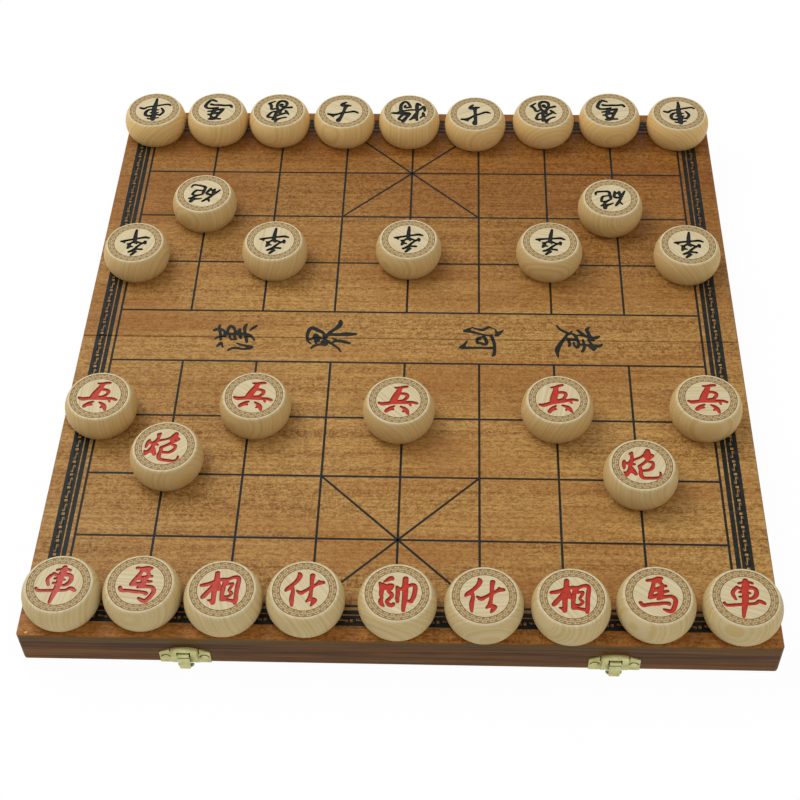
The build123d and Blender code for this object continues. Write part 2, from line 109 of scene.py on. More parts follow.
# %% The node helper
class Graph:
    """One material: calls that add nodes and return their output sockets."""

    def __init__(self, name):
        self.material = bpy.data.materials.new(name)
        self.material.use_nodes = True
        self.tree = self.material.node_tree
        self.tree.nodes.clear()
        self.shader = self.tree.nodes.new("ShaderNodeBsdfPrincipled")
        surface = self.tree.nodes.new("ShaderNodeOutputMaterial")
        self.tree.links.new(self.shader.outputs[0], surface.inputs["Surface"])
        self.place = self.add("ShaderNodeTexCoord", {}, "Object")

    def add(self, kind, values, output=0, **settings):
        """A node of this kind; a value is a number or the socket that feeds it."""
        node = self.tree.nodes.new(kind)
        for key, value in settings.items():
            setattr(node, key, value)
        for key, value in values.items():
            self.put(node.inputs[key], value)
        return node.outputs[output]

    def put(self, socket, value):
        if isinstance(value, bpy.types.NodeSocket):
            self.tree.links.new(value, socket)
        else:
            socket.default_value = value

    def math(self, operation, a, b=0.0, c=0.0):
        return self.add("ShaderNodeMath", {0: a, 1: b, 2: c}, operation=operation)

    def times(self, a, b):
        return self.math("MULTIPLY", a, b)

    def linear(self, a, b, c):
        """a times b, plus c."""
        return self.math("MULTIPLY_ADD", a, b, c)

    def ramp(self, value, low, high):
        """0 below low, 1 above high, and a soft step between; low may be above high."""
        values = {"Value": value, "From Min": low, "From Max": high}
        return self.add("ShaderNodeMapRange", values, interpolation_type="SMOOTHSTEP")

    def stretch(self, vector, scale, turn=(0, 0, 0), shift=(0, 0, 0)):
        values = {"Vector": vector, "Scale": scale, "Rotation": turn, "Location": shift}
        return self.add("ShaderNodeMapping", values)

    def noise(self, vector, scale=1.0, detail=3.0, rough=0.5, warp=0.0):
        return self.add("ShaderNodeTexNoise", {"Vector": vector, "Scale": scale, "Detail": detail,
                                               "Roughness": rough, "Distortion": warp})

    def streaks(self, vector, scale, detail, rough=0.5, warp=0.0):
        """Noise whose marks are short along the axes where scale is large."""
        return self.noise(self.stretch(vector, scale), 1, detail, rough, warp)

    def rings(self, distance, per_metre, detail):
        """Noise that changes only with the distance."""
        values = {"W": self.times(distance, per_metre), "Detail": detail, "Scale": 1.0}
        return self.add("ShaderNodeTexNoise", values, noise_dimensions="1D")

    def layered(self, tone, layers):
        """Adds to the tone a share of the ramp over each (pattern, low, high, share)."""
        for pattern, low, high, share in layers:
            tone = self.linear(self.ramp(pattern, low, high), share, tone)
        return tone

    def split(self, vector):
        node = self.tree.nodes.new("ShaderNodeSeparateXYZ")
        self.put(node.inputs[0], vector)
        return node.outputs

    def away_from(self, x, z, spot):
        """How far (x, z) is from a spot that is given in mm, and how high above it, in metres."""
        dx = self.math("SUBTRACT", x, spot[0] * MM)
        dz = self.math("SUBTRACT", z, spot[1] * MM)
        squares = self.math("ADD", self.math("POWER", dx, 2), self.math("POWER", dz, 2))
        return self.math("SQRT", squares), dz

    def mix(self, amount, a, b, blend="MIX"):
        """Colour a at amount 0 and colour b at 1."""
        values = {0: amount, 6: tuple(a) + (1,) if isinstance(a, tuple) else a}
        values[7] = tuple(b) + (1,) if isinstance(b, tuple) else b
        return self.add("ShaderNodeMix", values, 2, data_type="RGBA", blend_type=blend)

    def attribute(self, name, output="Fac"):
        return self.add("ShaderNodeAttribute", {}, output, attribute_name=name)

    def bump(self, height, distance, strength=1.0, under=None):
        values = {"Height": height, "Distance": distance, "Strength": strength}
        if under is not None:
            values["Normal"] = under
        return self.add("ShaderNodeBump", values)

    def finish(self, **inputs):
        """Feeds the shader, whose socket names are written with _ for a space."""
        for key, value in inputs.items():
            self.put(self.shader.inputs[key.replace("_", " ")], value)
        return self.material


def scaled(values, share):
    return tuple(v * share for v in values)


print("helper ready")

# %% [markdown]
# ## Veneer
# The playing surface is an orange-brown veneer. Its grain runs from side to side: fine straight
# streaks, and between them bands of short wavy marks where the blade crossed curly fibres. Noise
# that is stretched along X gives the streaks, and a second one, stretched less, gives the marks;
# a slow noise across the grain decides which band shows which. Three gentle darkenings follow the
# photograph: the far sheet is darker and redder towards the back, partly its own tone and partly
# a painted shade; the strip along the front is darker and redder; and the left has a painted shade
# that makes it duller. The panel's edge is plywood, a grey-green line under the lacquer over a dark
# ply, so height alone picks between the woods. Its small chamfer is painted in the veneer's darker
# tones: partly the cut veneer and partly a painted highlight along the top edge.

# %% Veneer for the two panels
VENEER_LIGHT = (0.530, 0.303, 0.091)
VENEER_DARK = (0.175, 0.066, 0.012)
VENEER_RED = (0.280, 0.100, 0.019)
FAR_LEAN = 0.3  # the far shade comes in on a slant: this share of x is added to y
VENEER_TONES_AND_PAINTED_SHADE = {  # what is measured: where a shade starts and where it is full, in metres, and its colour
    # the far sheet: its own darker, redder tone, and a painted shade that deepens towards the back
    "slanted y": ((-0.02, 0.21), (0.64, 0.48, 0.32)),
    "y": ((-0.193, -0.2), (0.92, 0.72, 0.56)),
    # painted shade: the left side is made duller
    "x": ((0.0, -0.2), (0.90, 0.87, 0.83)),
}
PLY_EDGE = (0.122, 0.068, 0.016)
PLY_UNDER = (0.300, 0.200, 0.100)
PLY_BACK = (0.110, 0.046, 0.013)
BACK_PLY, BACK_FADE = 0.85, 0.3  # mm: thickness of the lowest ply, which is dark, and its fade
UNDERSIDE = 0.05  # mm from the panel's lowest level that count as its underside
EASED = 0.5  # height in mm of the panel's small chamfer
FOLD_REACH = 3 * EASED  # mm either side of the fold where the veneer's look runs down the chamfer


def veneer():
    g = Graph("veneer")
    streak = g.streaks(g.place, (12, 640, 400), 4, 0.62)
    fleck = g.streaks(g.place, (380, 780, 400), 3, 0.6, 1.1)
    curl = g.streaks(g.place, (850, 330, 400), 2, 0.5, 0.9)
    band = g.ramp(g.streaks(g.place, (4, 90, 10), 2), 0.45, 0.55)
    patch = g.streaks(g.place, (5, 22, 5), 3, 0.5, 0.4)
    marks = g.times(g.ramp(curl, 0.38, 0.60), band)
    tone = g.layered(g.times(marks, 0.22), ((streak, 0.3, 0.7, 0.32), (fleck, 0.40, 0.60, 0.52)))
    colour = g.mix(tone, VENEER_LIGHT, VENEER_DARK)
    colour = g.mix(g.times(g.ramp(patch, 0.42, 0.72), 0.6), colour, VENEER_RED)
    x, y, z = g.split(g.place)
    measured = {"slanted y": g.linear(x, FAR_LEAN, y), "y": y, "x": x}
    # darkenings by place: the far sheet's tone with a painted shade, the front strip, and a painted
    # shade on the left
    for key, (run, shade) in VENEER_TONES_AND_PAINTED_SHADE.items():
        colour = g.mix(g.ramp(measured[key], *run), colour, shade, "MULTIPLY")
    edge_line = g.streaks(g.place, (20, 20, 1600), 3)
    edge = g.mix(g.ramp(edge_line, 0.35, 0.7), PLY_EDGE, scaled(PLY_EDGE, 0.55))
    # the chamfer: the veneer's darker tones, lighter than the ply edge; partly the cut veneer,
    # partly a painted highlight along the top edge
    chamfer_and_highlight = g.mix(g.ramp(g.noise(g.place, 160, 3), 0.35, 0.6), VENEER_DARK, VENEER_RED)
    back_top = (near_low.z + BACK_PLY) * MM
    edge = g.mix(g.ramp(z, back_top, back_top - BACK_FADE * MM), edge, PLY_BACK)
    side = g.mix(g.ramp(z, (TOP - EASED * 1.1) * MM, (TOP - EASED * 0.8) * MM), edge, chamfer_and_highlight)
    low = (near_low.z + UNDERSIDE) * MM
    side = g.mix(g.math("LESS_THAN", z, low), side, PLY_UNDER)
    at_fold = g.math("LESS_THAN", g.math("ABSOLUTE", y), FOLD_REACH * MM)
    lowest = g.linear(at_fold, -0.9 * EASED * MM, (TOP - 0.04) * MM)
    top = g.math("GREATER_THAN", z, lowest)
    colour = g.mix(top, side, colour)
    relief = g.linear(fleck, 0.6, g.times(curl, 0.4))
    dents = g.noise(g.place, 45, 2)
    normal = g.bump(dents, 0.0004, 0.35, g.bump(relief, 0.00008, 0.5))
    rough = g.linear(g.noise(g.place, 22, 4), 0.22, 0.32)
    rough = g.linear(marks, 0.08, rough)
    return g.finish(Base_Color=colour, Roughness=rough, Normal=normal, Specular_IOR_Level=0.12)


VENEER = veneer()
print("veneer ready")

# %% [markdown]
# ## Frame wood
# The walls under the panels are dark brown with long pale streaks. The grain follows each wall, so
# the material takes the direction as a choice: along X for the long walls and along Y for the
# sides. The lower edges are a little paler where hands have rubbed them. The wall with the
# latches also has pairs of reddish knots above them, which the photograph shows.

# %% Dark wood for the walls
WALL_DARK = (0.052, 0.018, 0.003)
WALL_LIGHT = (0.212, 0.086, 0.019)
WALL_WORN = (0.240, 0.140, 0.070)
KNOT = (0.105, 0.015, 0.005)
KNOT_CORE, KNOT_EDGE = 0.9, 2.1  # mm from a knot's middle where it starts to fade and is gone
RUBBED_FROM, RUBBED_FULL = 1.3, 0.1  # mm above the rim that hands have worn pale


def dark_wood(name, grain, knots=()):
    """grain is the scale along X, Y and Z; knots are (x, z) in mm of small reddish spots."""
    g = Graph(name)
    streak = g.streaks(g.place, grain, 5, 0.65, 0.15)
    broad = g.streaks(g.place, scaled(grain, 0.22), 3)
    tone = g.linear(g.ramp(broad, 0.4, 0.62), 0.5, g.ramp(streak, 0.4, 0.66))
    colour = g.mix(g.times(tone, 0.68), WALL_DARK, WALL_LIGHT)
    x, _, z = g.split(g.place)
    for knot in knots:
        away, _ = g.away_from(x, z, knot)
        spot = g.times(g.ramp(away, KNOT_EDGE * MM, KNOT_CORE * MM), 0.7)
        colour = g.mix(spot, colour, KNOT)
    rub = g.ramp(z, (RIM + RUBBED_FROM) * MM, (RIM + RUBBED_FULL) * MM)
    rub = g.times(rub, g.ramp(g.noise(g.place, 130, 4), 0.45, 0.65))
    colour = g.mix(g.times(rub, 0.6), colour, WALL_WORN)
    normal = g.bump(streak, 0.00012, 0.5, g.bump(g.noise(g.place, 60, 2), 0.0004, 0.25))
    rough = g.linear(streak, 0.25, 0.33)
    return g.finish(Base_Color=colour, Roughness=rough, Normal=normal, Specular_IOR_Level=0.12)


GRAIN_FINE, GRAIN_LONG = 420, 11  # marks in a metre, across and along the grain
LATCH_BASES = ("latch_left_base", "latch_right_base")
KNOT_UP, KNOT_OUT = 17.4, 5.6  # mm above the table, and to each side of a latch's middle
latch_places = []
for node in LATCH_BASES:
    low, high = (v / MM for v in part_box(node))
    latch_places.append((low.x + high.x) / 2)
knots = [(x + side * KNOT_OUT, KNOT_UP) for x in latch_places for side in (-1, 1)]
LONG_WOOD = dark_wood("dark_wood_long", (GRAIN_LONG, GRAIN_FINE, GRAIN_FINE))
LATCH_WOOD = dark_wood("dark_wood_front", (GRAIN_LONG, GRAIN_FINE, GRAIN_FINE), knots)
SIDE_WOOD = dark_wood("dark_wood_side", (GRAIN_FINE, GRAIN_LONG, GRAIN_FINE))
print("frame wood ready")

# %% [markdown]
# ## Brass and steel
# The hinges, latches and keepers are thin pressed brass, satin and slightly dulled. Metals take
# their look from roughness more than colour, so the dulling works on both: cloudy noise for the
# tarnish and a stretched noise for the fine rubbing marks. A painted shade darkens an arc over each
# screw head of the latches, and a line along the crease of each lever. The brads are dull steel
# under the same brown lacquer as the veneer.

# %% Metals
BRASS_BRIGHT = (0.560, 0.540, 0.255)
BRASS_DULL = (0.350, 0.310, 0.115)
# painted shade: the dark of the arcs over the latches' screw heads and of the line in each lever's
# crease
PAINTED_SHADE_DARK = (0.060, 0.044, 0.012)
STEEL_LIGHT = (0.360, 0.190, 0.070)
STEEL_DARK = (0.210, 0.095, 0.030)
SCREW_HEAD = 2.0  # mm, radius of the latches' screw heads
# the painted shade arc over each screw head lies between these radii, and above the screw's middle
SHADE_ARC_INNER, SHADE_ARC_OUTER = (0.97, 1.05), (1.65, 1.25)  # in radii: between these it sets in
SHADE_ARC_LOW, SHADE_ARC_HIGH = -0.4, 1.2  # mm above a screw's middle: none below, full above
SCREW_UP, SCREW_IN = 4.6, 3.3  # mm above the rim, and in from the ends of a latch's base
# where the painted shade line in each lever's crease lies
CREASE_UP, CREASE_HALF = 9.95, 1.0  # mm above the rim, and half its height


def metal(name, bright, dull, shine, screws=(), crease=None):
    """screws are (x, z) in mm of the heads with a painted shade arc over them; crease is the height
    in mm of a painted shade line along a crease.
    """
    g = Graph(name)
    cloud = g.ramp(g.noise(g.place, 210, 4, 0.55), 0.35, 0.75)
    rub = g.streaks(g.place, (240, 240, 3800), 3)
    colour = g.mix(g.linear(cloud, 0.4, g.times(rub, 0.15)), bright, dull)
    x, _, z = g.split(g.place)
    for screw in screws:
        # painted shade in an arc over the upper side of each screw head
        away, dz = g.away_from(x, z, screw)
        inner, outer = (g.ramp(away, *(SCREW_HEAD * share * MM for share in shares))
                        for shares in (SHADE_ARC_INNER, SHADE_ARC_OUTER))
        above = g.ramp(dz, SHADE_ARC_LOW * MM, SHADE_ARC_HIGH * MM)
        arc = g.times(g.times(inner, outer), above)
        colour = g.mix(g.times(arc, 0.95), colour, PAINTED_SHADE_DARK)
    if crease is not None:
        # painted shade: a dark line along the crease
        apart = g.math("ABSOLUTE", g.math("SUBTRACT", z, crease * MM))
        line = g.ramp(apart, CREASE_HALF * MM, CREASE_HALF * 0.65 * MM)
        colour = g.mix(g.times(line, 0.92), colour, PAINTED_SHADE_DARK)
    rough = g.linear(cloud, 0.2, g.linear(rub, 0.12, shine))
    normal = g.bump(rub, 0.00001, 0.3, g.bump(cloud, 0.00002, 0.2))
    return g.finish(Base_Color=colour, Roughness=rough, Normal=normal, Metallic=1.0)


heads = []
for node in LATCH_BASES:
    low, high = (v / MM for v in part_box(node))
    heads += [(low.x + SCREW_IN, RIM + SCREW_UP), (high.x - SCREW_IN, RIM + SCREW_UP)]
BRASS = metal("brass", BRASS_BRIGHT, BRASS_DULL, 0.28)
# the latch bases carry painted shade arcs over their screw heads
LATCH_BRASS = metal("brass_screw_shade", BRASS_BRIGHT, BRASS_DULL, 0.44, heads)
# the levers carry a painted shade line along their crease
LEVER_BRASS = metal("brass_crease_shaded", BRASS_BRIGHT, BRASS_DULL, 0.26, crease=RIM + CREASE_UP)
STEEL = metal("steel", STEEL_LIGHT, STEEL_DARK, 0.45)
print("metals ready")

# %% [markdown]
# ## Give the frame's own parts their finish
# Panels, walls, hinges, keepers, screws and brads keep the frame's own meshes, so they only need a
# material each. The latches' bases and levers get one too, though finer pieces stand for them.

# %% Assign the finishes
def dress(node, material):
    mesh = NODES[node].data
    mesh.materials.clear()
    mesh.materials.append(material)


FINISHES = (
    ("panel", VENEER, "board_veneer"),
    ("left_wall", SIDE_WOOD, "dark_wood"),
    ("right_wall", SIDE_WOOD, "dark_wood"),
    ("near_outer_wall", LATCH_WOOD, "dark_wood"),
    ("wall", LONG_WOOD, "dark_wood"),
    ("brads", STEEL, "steel"),
    ("hinge", BRASS, "brass"),
    ("latch_left_base", LATCH_BRASS, "brass"),
    ("latch_right_base", LATCH_BRASS, "brass"),
    ("latch", BRASS, "brass"),
    ("keeper", BRASS, "brass"),
)
dressed = 0
for node in NODES:
    for word, material, slot_name in FINISHES:
        if word in node:
            dress(node, material)
            dressed += 1
            break
print(f"{dressed} parts dressed")

# %% [markdown]
# ## From numbers to meshes
# Carving and print are too fine to model by hand, so they are computed with numpy and handed to
# Blender in one call. Each mesh is built in millimetres where it stands and scaled to metres.

# %% Mesh helper
def new_piece(name, verts, faces, material, body, attributes=(), smooth=None):
    """A mesh object in the row frame; verts in mm; smooth is the crease angle in degrees."""
    mesh = bpy.data.meshes.new(name)
    mesh.from_pydata((np.asarray(verts) * MM).tolist(), [], faces)
    for key, kind, values in attributes:
        layer = mesh.attributes.new(key, kind, "POINT")
        field = "vector" if kind == "FLOAT_VECTOR" else "value"
        layer.data.foreach_set(field, np.asarray(values, np.float32).ravel())
    mesh.materials.append(material)
    if smooth is not None:
        mesh.shade_smooth()
        mesh.set_sharp_from_angle(angle=math.radians(smooth))
    mesh.validate()
    obj = bpy.data.objects.new(name, mesh)
    scene.collection.objects.link(obj)
    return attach(obj, body)


print("mesh helper ready")

# %% [markdown]
# ## Brush strokes
# The characters on the pieces and in the river are the game's own, the same on every set. Each was
# drawn here as brush strokes: points along the middle of a stroke with the brush's width at
# each, in millimetres. A smooth curve goes through the points, and the distance from any spot to
# the nearest edge of ink follows from it. That signed distance is negative inside the ink, and it
# drives the carving on the pieces and the outline of the printed words.

# %% Reading and measuring strokes
STEP_ALONG = 4  # curve points made from each gap between two drawn points
BLEND = 0.12  # mm over which meeting strokes flow together


def strokes(off, text):
    """Strokes are parted by ';' and their points are 'x,y,width'. off is the drawing's middle."""
    made = []
    for line in text.split(";"):
        points = np.array([[float(v) for v in p.split(",")] for p in line.split()])
        made.append(points - np.array([off[0], off[1], 0.0]))
    return made


def smoothed(points):
    """Points on the curve through these ones: each piece is a cubic whose slope at a point is half
    of the step between its two neighbours."""
    padded = np.vstack([points[:1], points, points[-1:]])
    a, b, c, d = (padded[k : len(padded) - 3 + k, None, :] for k in range(4))
    t = np.linspace(0, 1, STEP_ALONG, endpoint=False)[None, :, None]
    slope_b, slope_c = (c - a) / 2, (d - b) / 2
    cubic = 2 * b - 2 * c + slope_b + slope_c
    square = 3 * c - 3 * b - 2 * slope_b - slope_c
    curve = ((cubic * t + square) * t + slope_b) * t + b
    return np.vstack([curve.reshape(-1, points.shape[1]), points[-1:]])


def ink_distance(xy, glyph):
    """For each point, how far it is outside the ink in mm. A stroke is a chain of cones, so its
    distance is the length to the nearest one less the brush's radius there. Strokes are joined by
    -k log(sum of exp(-distance / k)), a minimum with rounded corners."""
    total = np.zeros(len(xy))
    for stroke in glyph:
        curve = smoothed(stroke)
        start, run = curve[:-1], np.diff(curve, axis=0)
        length2 = np.maximum((run[:, :2] ** 2).sum(1), 1e-9)
        gap = xy[:, None, :] - start[None, :, :2]
        along = np.clip((gap * run[None, :, :2]).sum(2) / length2, 0, 1)
        gap -= along[..., None] * run[None, :, :2]
        radius = (start[:, 2] + along * run[:, 2]) / 2
        near = (np.sqrt((gap**2).sum(2)) - radius).min(1)
        total += np.exp(np.clip(-near / BLEND, -200, 200))
    return -BLEND * np.log(np.maximum(total, 1e-80))


# %% The red side's characters
GLYPHS = {}
GLYPHS["general_red"] = strokes((0, 0), """
-9.2,6,1.2 -7.6,5,2 -5.6,3.9,2.4 -3.6,4.6,2.2 -2.6,4.4,1.8 -3.4,2.6,2 -4.6,.8,1.2 -3.2,-.4,2
-2.5,-1.8,1.6 -3.6,-3.4,1.8 -5,-5.2,1.8 -4.2,-7.2,2 -2.6,-7.7,2.2 -1.7,-6.9,1.8 ; -6.8,6.9,.9
-5,8.1,2 -3.4,9,2.6 -2.8,8.6,2 ; -8.8,5,1.6 -8,2.8,2.4 -8.2,-1,2 -7.9,-3,1.6 -8.4,-5.2,2.2
-7.8,-7,2 -6.8,-8.1,1.2 ; -7,3.6,2.4 -5.6,2.8,2.4 ; -.1,3.6,1.4 .4,0,2 .2,-3,2 .4,-5.4,1.6 ;
.2,2.9,1.8 1.8,2.3,1.8 3.4,3.4,2 5.6,4.3,1.8 8.2,5.2,1.8 9.3,3.6,2.2 9.1,0,2.2 8.3,-3,2.2
7.2,-5.2,1.8 ; 5,-4.6,1.2 6.4,-5,1.6 7.6,-5.4,1.4 ; 4.2,8.8,2.8 4.1,7,2.8 4.1,4,3 4.2,0,2.8
4,-4,2.6 3.6,-8,2 3.5,-10.8,1.6""")
GLYPHS["advisor_red"] = strokes((0.66, -0.43), """
-3,10,.8 -2.2,8.4,2.4 -3.2,5.6,2.2 -5.6,2.6,2 -8.2,.2,1.8 -9,-1.2,1.2 ; -8.2,-.4,1.6 -6,.5,1.4 ;
-5.6,.6,1.4 -5.2,-2,1.8 -5.6,-5.5,2.2 -5.4,-8.6,1.8 -5.2,-10.4,1 ; 4.4,8.4,2.6 4.2,5.5,2
4.3,2,1.8 4.2,-2,1.6 3.8,-5.2,2.2 ; -3,-1.2,1 -1,-2.4,2.2 1.4,-.9,1.7 4,1,1.8 6.2,2.6,1.6
8,3.8,2.2 10.2,4.2,1.8 ; 7.8,5.2,.9 8.6,4.2,2 ; 2.2,-7.6,1 3.6,-6.4,2.2 5.8,-6.4,2.2
6.6,-6.9,1.8 5.6,-8.4,2 4.8,-10,1""")
GLYPHS["elephant_red"] = strokes((0.66, 0), """
-2.4,10,2.4 -2.4,7,2.6 -2.6,4,2.6 -3,0,2.6 -3,-4,2.4 -3,-8,2.2 -3.2,-8.8,1.6 ; -5.6,-6.8,.8
-4,-7.4,1.8 -3,-8.2,2 ; -10,2.2,1.8 -7,2.9,2.2 -4.4,4.2,1.8 -2.4,5.4,2 .6,6,2 ; -3.2,2.6,2.4
-5.6,-.8,2.4 -8.2,-4.4,2.4 -8.8,-5.2,1.8 ; -1.6,4,2 -.8,2.4,1.6 -.6,0,2 ; 2,5.6,2 1.6,3,1.8
1.4,.6,2.4 1.2,-3,2 1.4,-5.6,2.2 ; 1.6,6,2 4,6.4,1.8 6.6,7.6,1.8 8.6,7.4,2.2 9.2,5.6,2 8.8,2,2.2
8.6,-2,2 8.6,-6,2 8.4,-8.6,1.6 ; 1.4,-6.4,2 4,-6.5,1.6 7.6,-7.2,1.8 ; 4,3.2,1.2 5.8,3.6,1.4
6.2,3,1.3 5.4,1.2,1.4 4.6,-.6,1.2 5.8,-2,1.6 6,-2.8,1.5 4.6,-4.4,1.4 2.6,-4.6,1.4 ; 3,5.2,1.8
3.2,3.2,1.8""")
GLYPHS["horse_red"] = strokes((0.44, -0.41), """
-2.2,9.6,1.6 .6,9.4,1.6 3.4,10,1.6 5.4,9.4,1.6 ; .8,9,1.8 .2,6.8,1.8 -1.2,4,2.2 -2.8,1.4,2.2
-4.2,-.8,1.6 ; 4,9,1.8 3.8,7,1.8 4.4,5.6,1.6 3.6,3.4,2.2 ; .8,8,1.8 4,8,1.8 ; 0,3.2,2.2
3,3.6,2.4 ; 4.4,4.8,1.4 6,4.4,1.6 ; 3.2,1,2 6.2,1.1,1.4 ; -3.8,-1,1.6 -.6,-.4,2.2 2,-.2,2.2 ;
2.2,2,2.6 2,-1,2.6 ; -.2,-2.6,1.4 2,-2,2 5.4,-2,1.8 7.4,-2.6,1.9 8.4,-4.8,2.2 7.4,-7.4,2.2
5.8,-9.8,2.2 4.4,-11,2.2 2.6,-10.4,2 1,-9.2,1.2 ; -9.6,-2.8,1.8 -8.6,-4.6,2 -5,-4.7,1.8
-1.6,-5.2,2 2,-5.5,1.8 4.4,-6.2,2 4.4,-6.8,1.4""")
GLYPHS["chariot_red"] = strokes((0.92, -0.49), """
2.6,10,2.6 2.4,8,3.4 2.2,6.2,3.4 ; -1.2,8.4,1.2 1,8.8,1.4 4.4,8.8,1.4 5.8,8.2,1.4 ; -2.4,6,1.6
-4.2,4.4,1.8 -5.2,2.4,1.8 -4.8,.4,1.6 -4.2,-1.2,1.2 ; -2.6,6.2,1.4 -.8,5.2,1.6 1,5,1.8 4,5.6,2.2
6.4,5,2 7.2,3.4,2.2 6.8,1.2,2.2 5.2,-.6,2 3.4,-1.2,1.4 2.2,-1,1.2 ; 1.6,6,3 1.4,3,3.2 1,0,3.2
.4,-3,3 -.4,-6,2.6 -1.2,-9,2 -1.8,-11.8,1.4 ; -1.6,3,1 0,3.2,1.6 ; -2,.2,1 0,0,1.6 ; 2.6,2.4,1.6
3.8,2.2,1 ; -10.4,-3.2,1.4 -9,-4.6,1.6 -4,-4.6,1.6 0,-4.4,1.6 5,-4.2,1.5 7.6,-2.9,2 9.4,-3.8,1.9
10.2,-4.4,1.4""")
GLYPHS["cannon_red"] = strokes((0, -0.49), """
-5.6,7.4,1.8 -5.4,4,1.7 -6.4,1,2.2 -6.8,-2,1.8 -7.4,-4.6,2.2 -9,-7.4,2.2 -9.8,-8.8,1 ;
-6.4,7,1.2 -5.2,8,1.2 ; -10.2,-5.8,.9 -9,-6.4,2 -6.8,-5.4,1.8 -5,-6,1.8 -4,-7.2,1.6 ;
-6.2,-2.6,1.8 -4.8,-5,2 -4,-6.8,1.8 ; -9.8,2.2,1.2 -10.2,0,1.8 -10.2,-2,1.6 -10.2,-3.2,1 ;
-10,1.2,1.6 -8.2,.4,1.8 -6.2,1,1.6 ; -5.6,1.4,1.2 -4.4,2.8,1.3 -2.6,3.8,1.4 -.6,4.8,1.2
1.6,6.4,1.8 2.6,8,2.2 ; 3.6,9.4,2.6 3.6,7.6,2.8 2.4,5.4,2.6 ; 4.4,6.8,1.6 6.2,6.2,1.4 5.2,5,1.6
3.9,3.6,1.4 ; 3.4,4.6,1.8 2.4,2.2,1.8 .6,.4,1.6 -1.6,-1.6,1.8 ; 2.8,2.6,1.4 4,1.6,1.4
5.6,1.2,1.8 6,-.6,1.6 5,-2.8,2 3.2,-4.2,1.6 .6,-4.6,1.6 ; -1.6,-1.6,1.8 -1.2,-4.4,2
-1.2,-7.4,2.2 0,-9.6,2 3,-9.8,1.8 7,-9.6,1.8 9.2,-8.8,1.6 9.6,-7,1.2 9.5,-5.6,.8 ; -6.2,0,1.6
-4.4,-.2,1.4""")
GLYPHS["soldier_red"] = strokes((0.48, -0.47), """
-1.6,9,1 .6,8.8,1.8 3.4,9.6,1.8 5.2,9.8,1.4 ; 1.2,8.4,2.4 .4,6,3 -.6,3.6,3.6 -2,.4,3.8
-2.8,-1.6,3.4 ; 1.4,4.4,1.6 3.6,4.4,1.8 5.4,3.4,2 5.4,1.6,1.8 4.2,0,1.8 3.8,-1,1.6 ; -.6,-1,1.4
1,-1.2,1.6 3,-.8,1.6 ; -10.6,-2.6,1.4 -8.4,-3.4,2.4 -4,-2.6,2.2 0,-2.3,2.2 4,-2.3,2 8.4,-2,1.8
11,-2.8,1.6 ; 7,-3,1.4 7.6,-4.4,1 ; -1.8,-5,1 -3.8,-6.4,2.2 -5.8,-8.2,2.4 -6.2,-9,1.8 ;
-2.2,-7.4,1 -4.4,-7.6,1.6 ; 1.9,-5.2,.9 4,-6.6,2 5.4,-8.4,2.4 6.2,-10.8,1.2 ; 3.4,-9,1
4.6,-8,1.8""")
print(f"{len(GLYPHS)} drawings")

# %% The black side's characters
GLYPHS["general_black"] = strokes((0, 0), """
-11.2,5.4,1 -10.2,4.4,1.8 -9.8,2.6,2.2 -9.6,1,1.2 ; -9.6,4,1.4 -8.6,5.6,1.4 -7.8,6.8,1 ;
-10.6,-.6,1.4 -10.6,-2.8,2 -10,-5.2,2.2 -9,-4.4,1.6 -7.8,-2.6,1.6 -6,-1.4,1.8 ; -5.6,9,1.8
-5.2,6,2 -5.2,3,2.2 -5.6,0,2.2 -5.4,-3,2.4 -5.2,-6,2.4 -5.2,-8.6,1.6 ; -.9,8.6,1.4 -2.2,7.2,1.8
-3.6,4.8,2.2 -5,1.6,1.8 ; -4.6,6.8,1.2 -3.4,7,1.6 ; -7.8,-6.6,1.2 -6.8,-7.8,2 -5.6,-8.6,1.8 ;
3.9,10.8,2.2 3,8.8,2.6 1.8,6.4,2.2 .4,4.2,2.2 -.6,2.4,1.8 ; 4.8,9.2,1.6 6.6,8.4,1.8 6.6,7.2,1.8
5.2,4.8,2 3.4,2.4,2.2 ; .4,2.6,2 2.6,3,2.6 4.2,2.4,2.2 ; 0,1.4,1.6 3.4,1.2,1.4 ; 6.8,1.8,2.6
8.4,1.8,2.2 10,1.6,2 11.6,1.6,1.4 ; 5.4,-.2,2 7.2,.8,1.8 ; -4.6,-1.8,1.6 -1,-1.8,1.6 2.4,-1,1.5
5.6,-.4,1.8 ; 5,3,1.8 5.4,0,2.4 5.8,-3.6,2.4 5.6,-7,2.2 4.2,-9.8,2 2.8,-10.6,1.8 1.4,-9.8,1.8
0,-7.4,1.8 -.8,-5,1.6 ; -1,-4.8,1.6 .8,-4.4,1.6 2.6,-4.4,1.8 3,-5.6,1.6 2.6,-6.6,1.2""")
GLYPHS["advisor_black"] = strokes((0, 0), """
3.2,10.2,2.8 3,9,3.4 1.8,6.6,2.2 1,3.8,2.2 .2,.6,2 -.4,-2,2 -1,-4.4,2.6 ; -9.8,2,1 -8.6,.8,1.8
-6.6,.2,1.9 -3,1,1.6 .6,1.6,1.8 4,3,1.8 7,4,2.4 10.4,3,1.8 ; 6.8,6,.9 7.6,4.6,2.2 ; -4.4,-6,1.2
-2.6,-6,2.4 .2,-6.2,3 2,-6.6,1.8 .8,-8.2,2.2 -1.2,-9.6,1.2""")
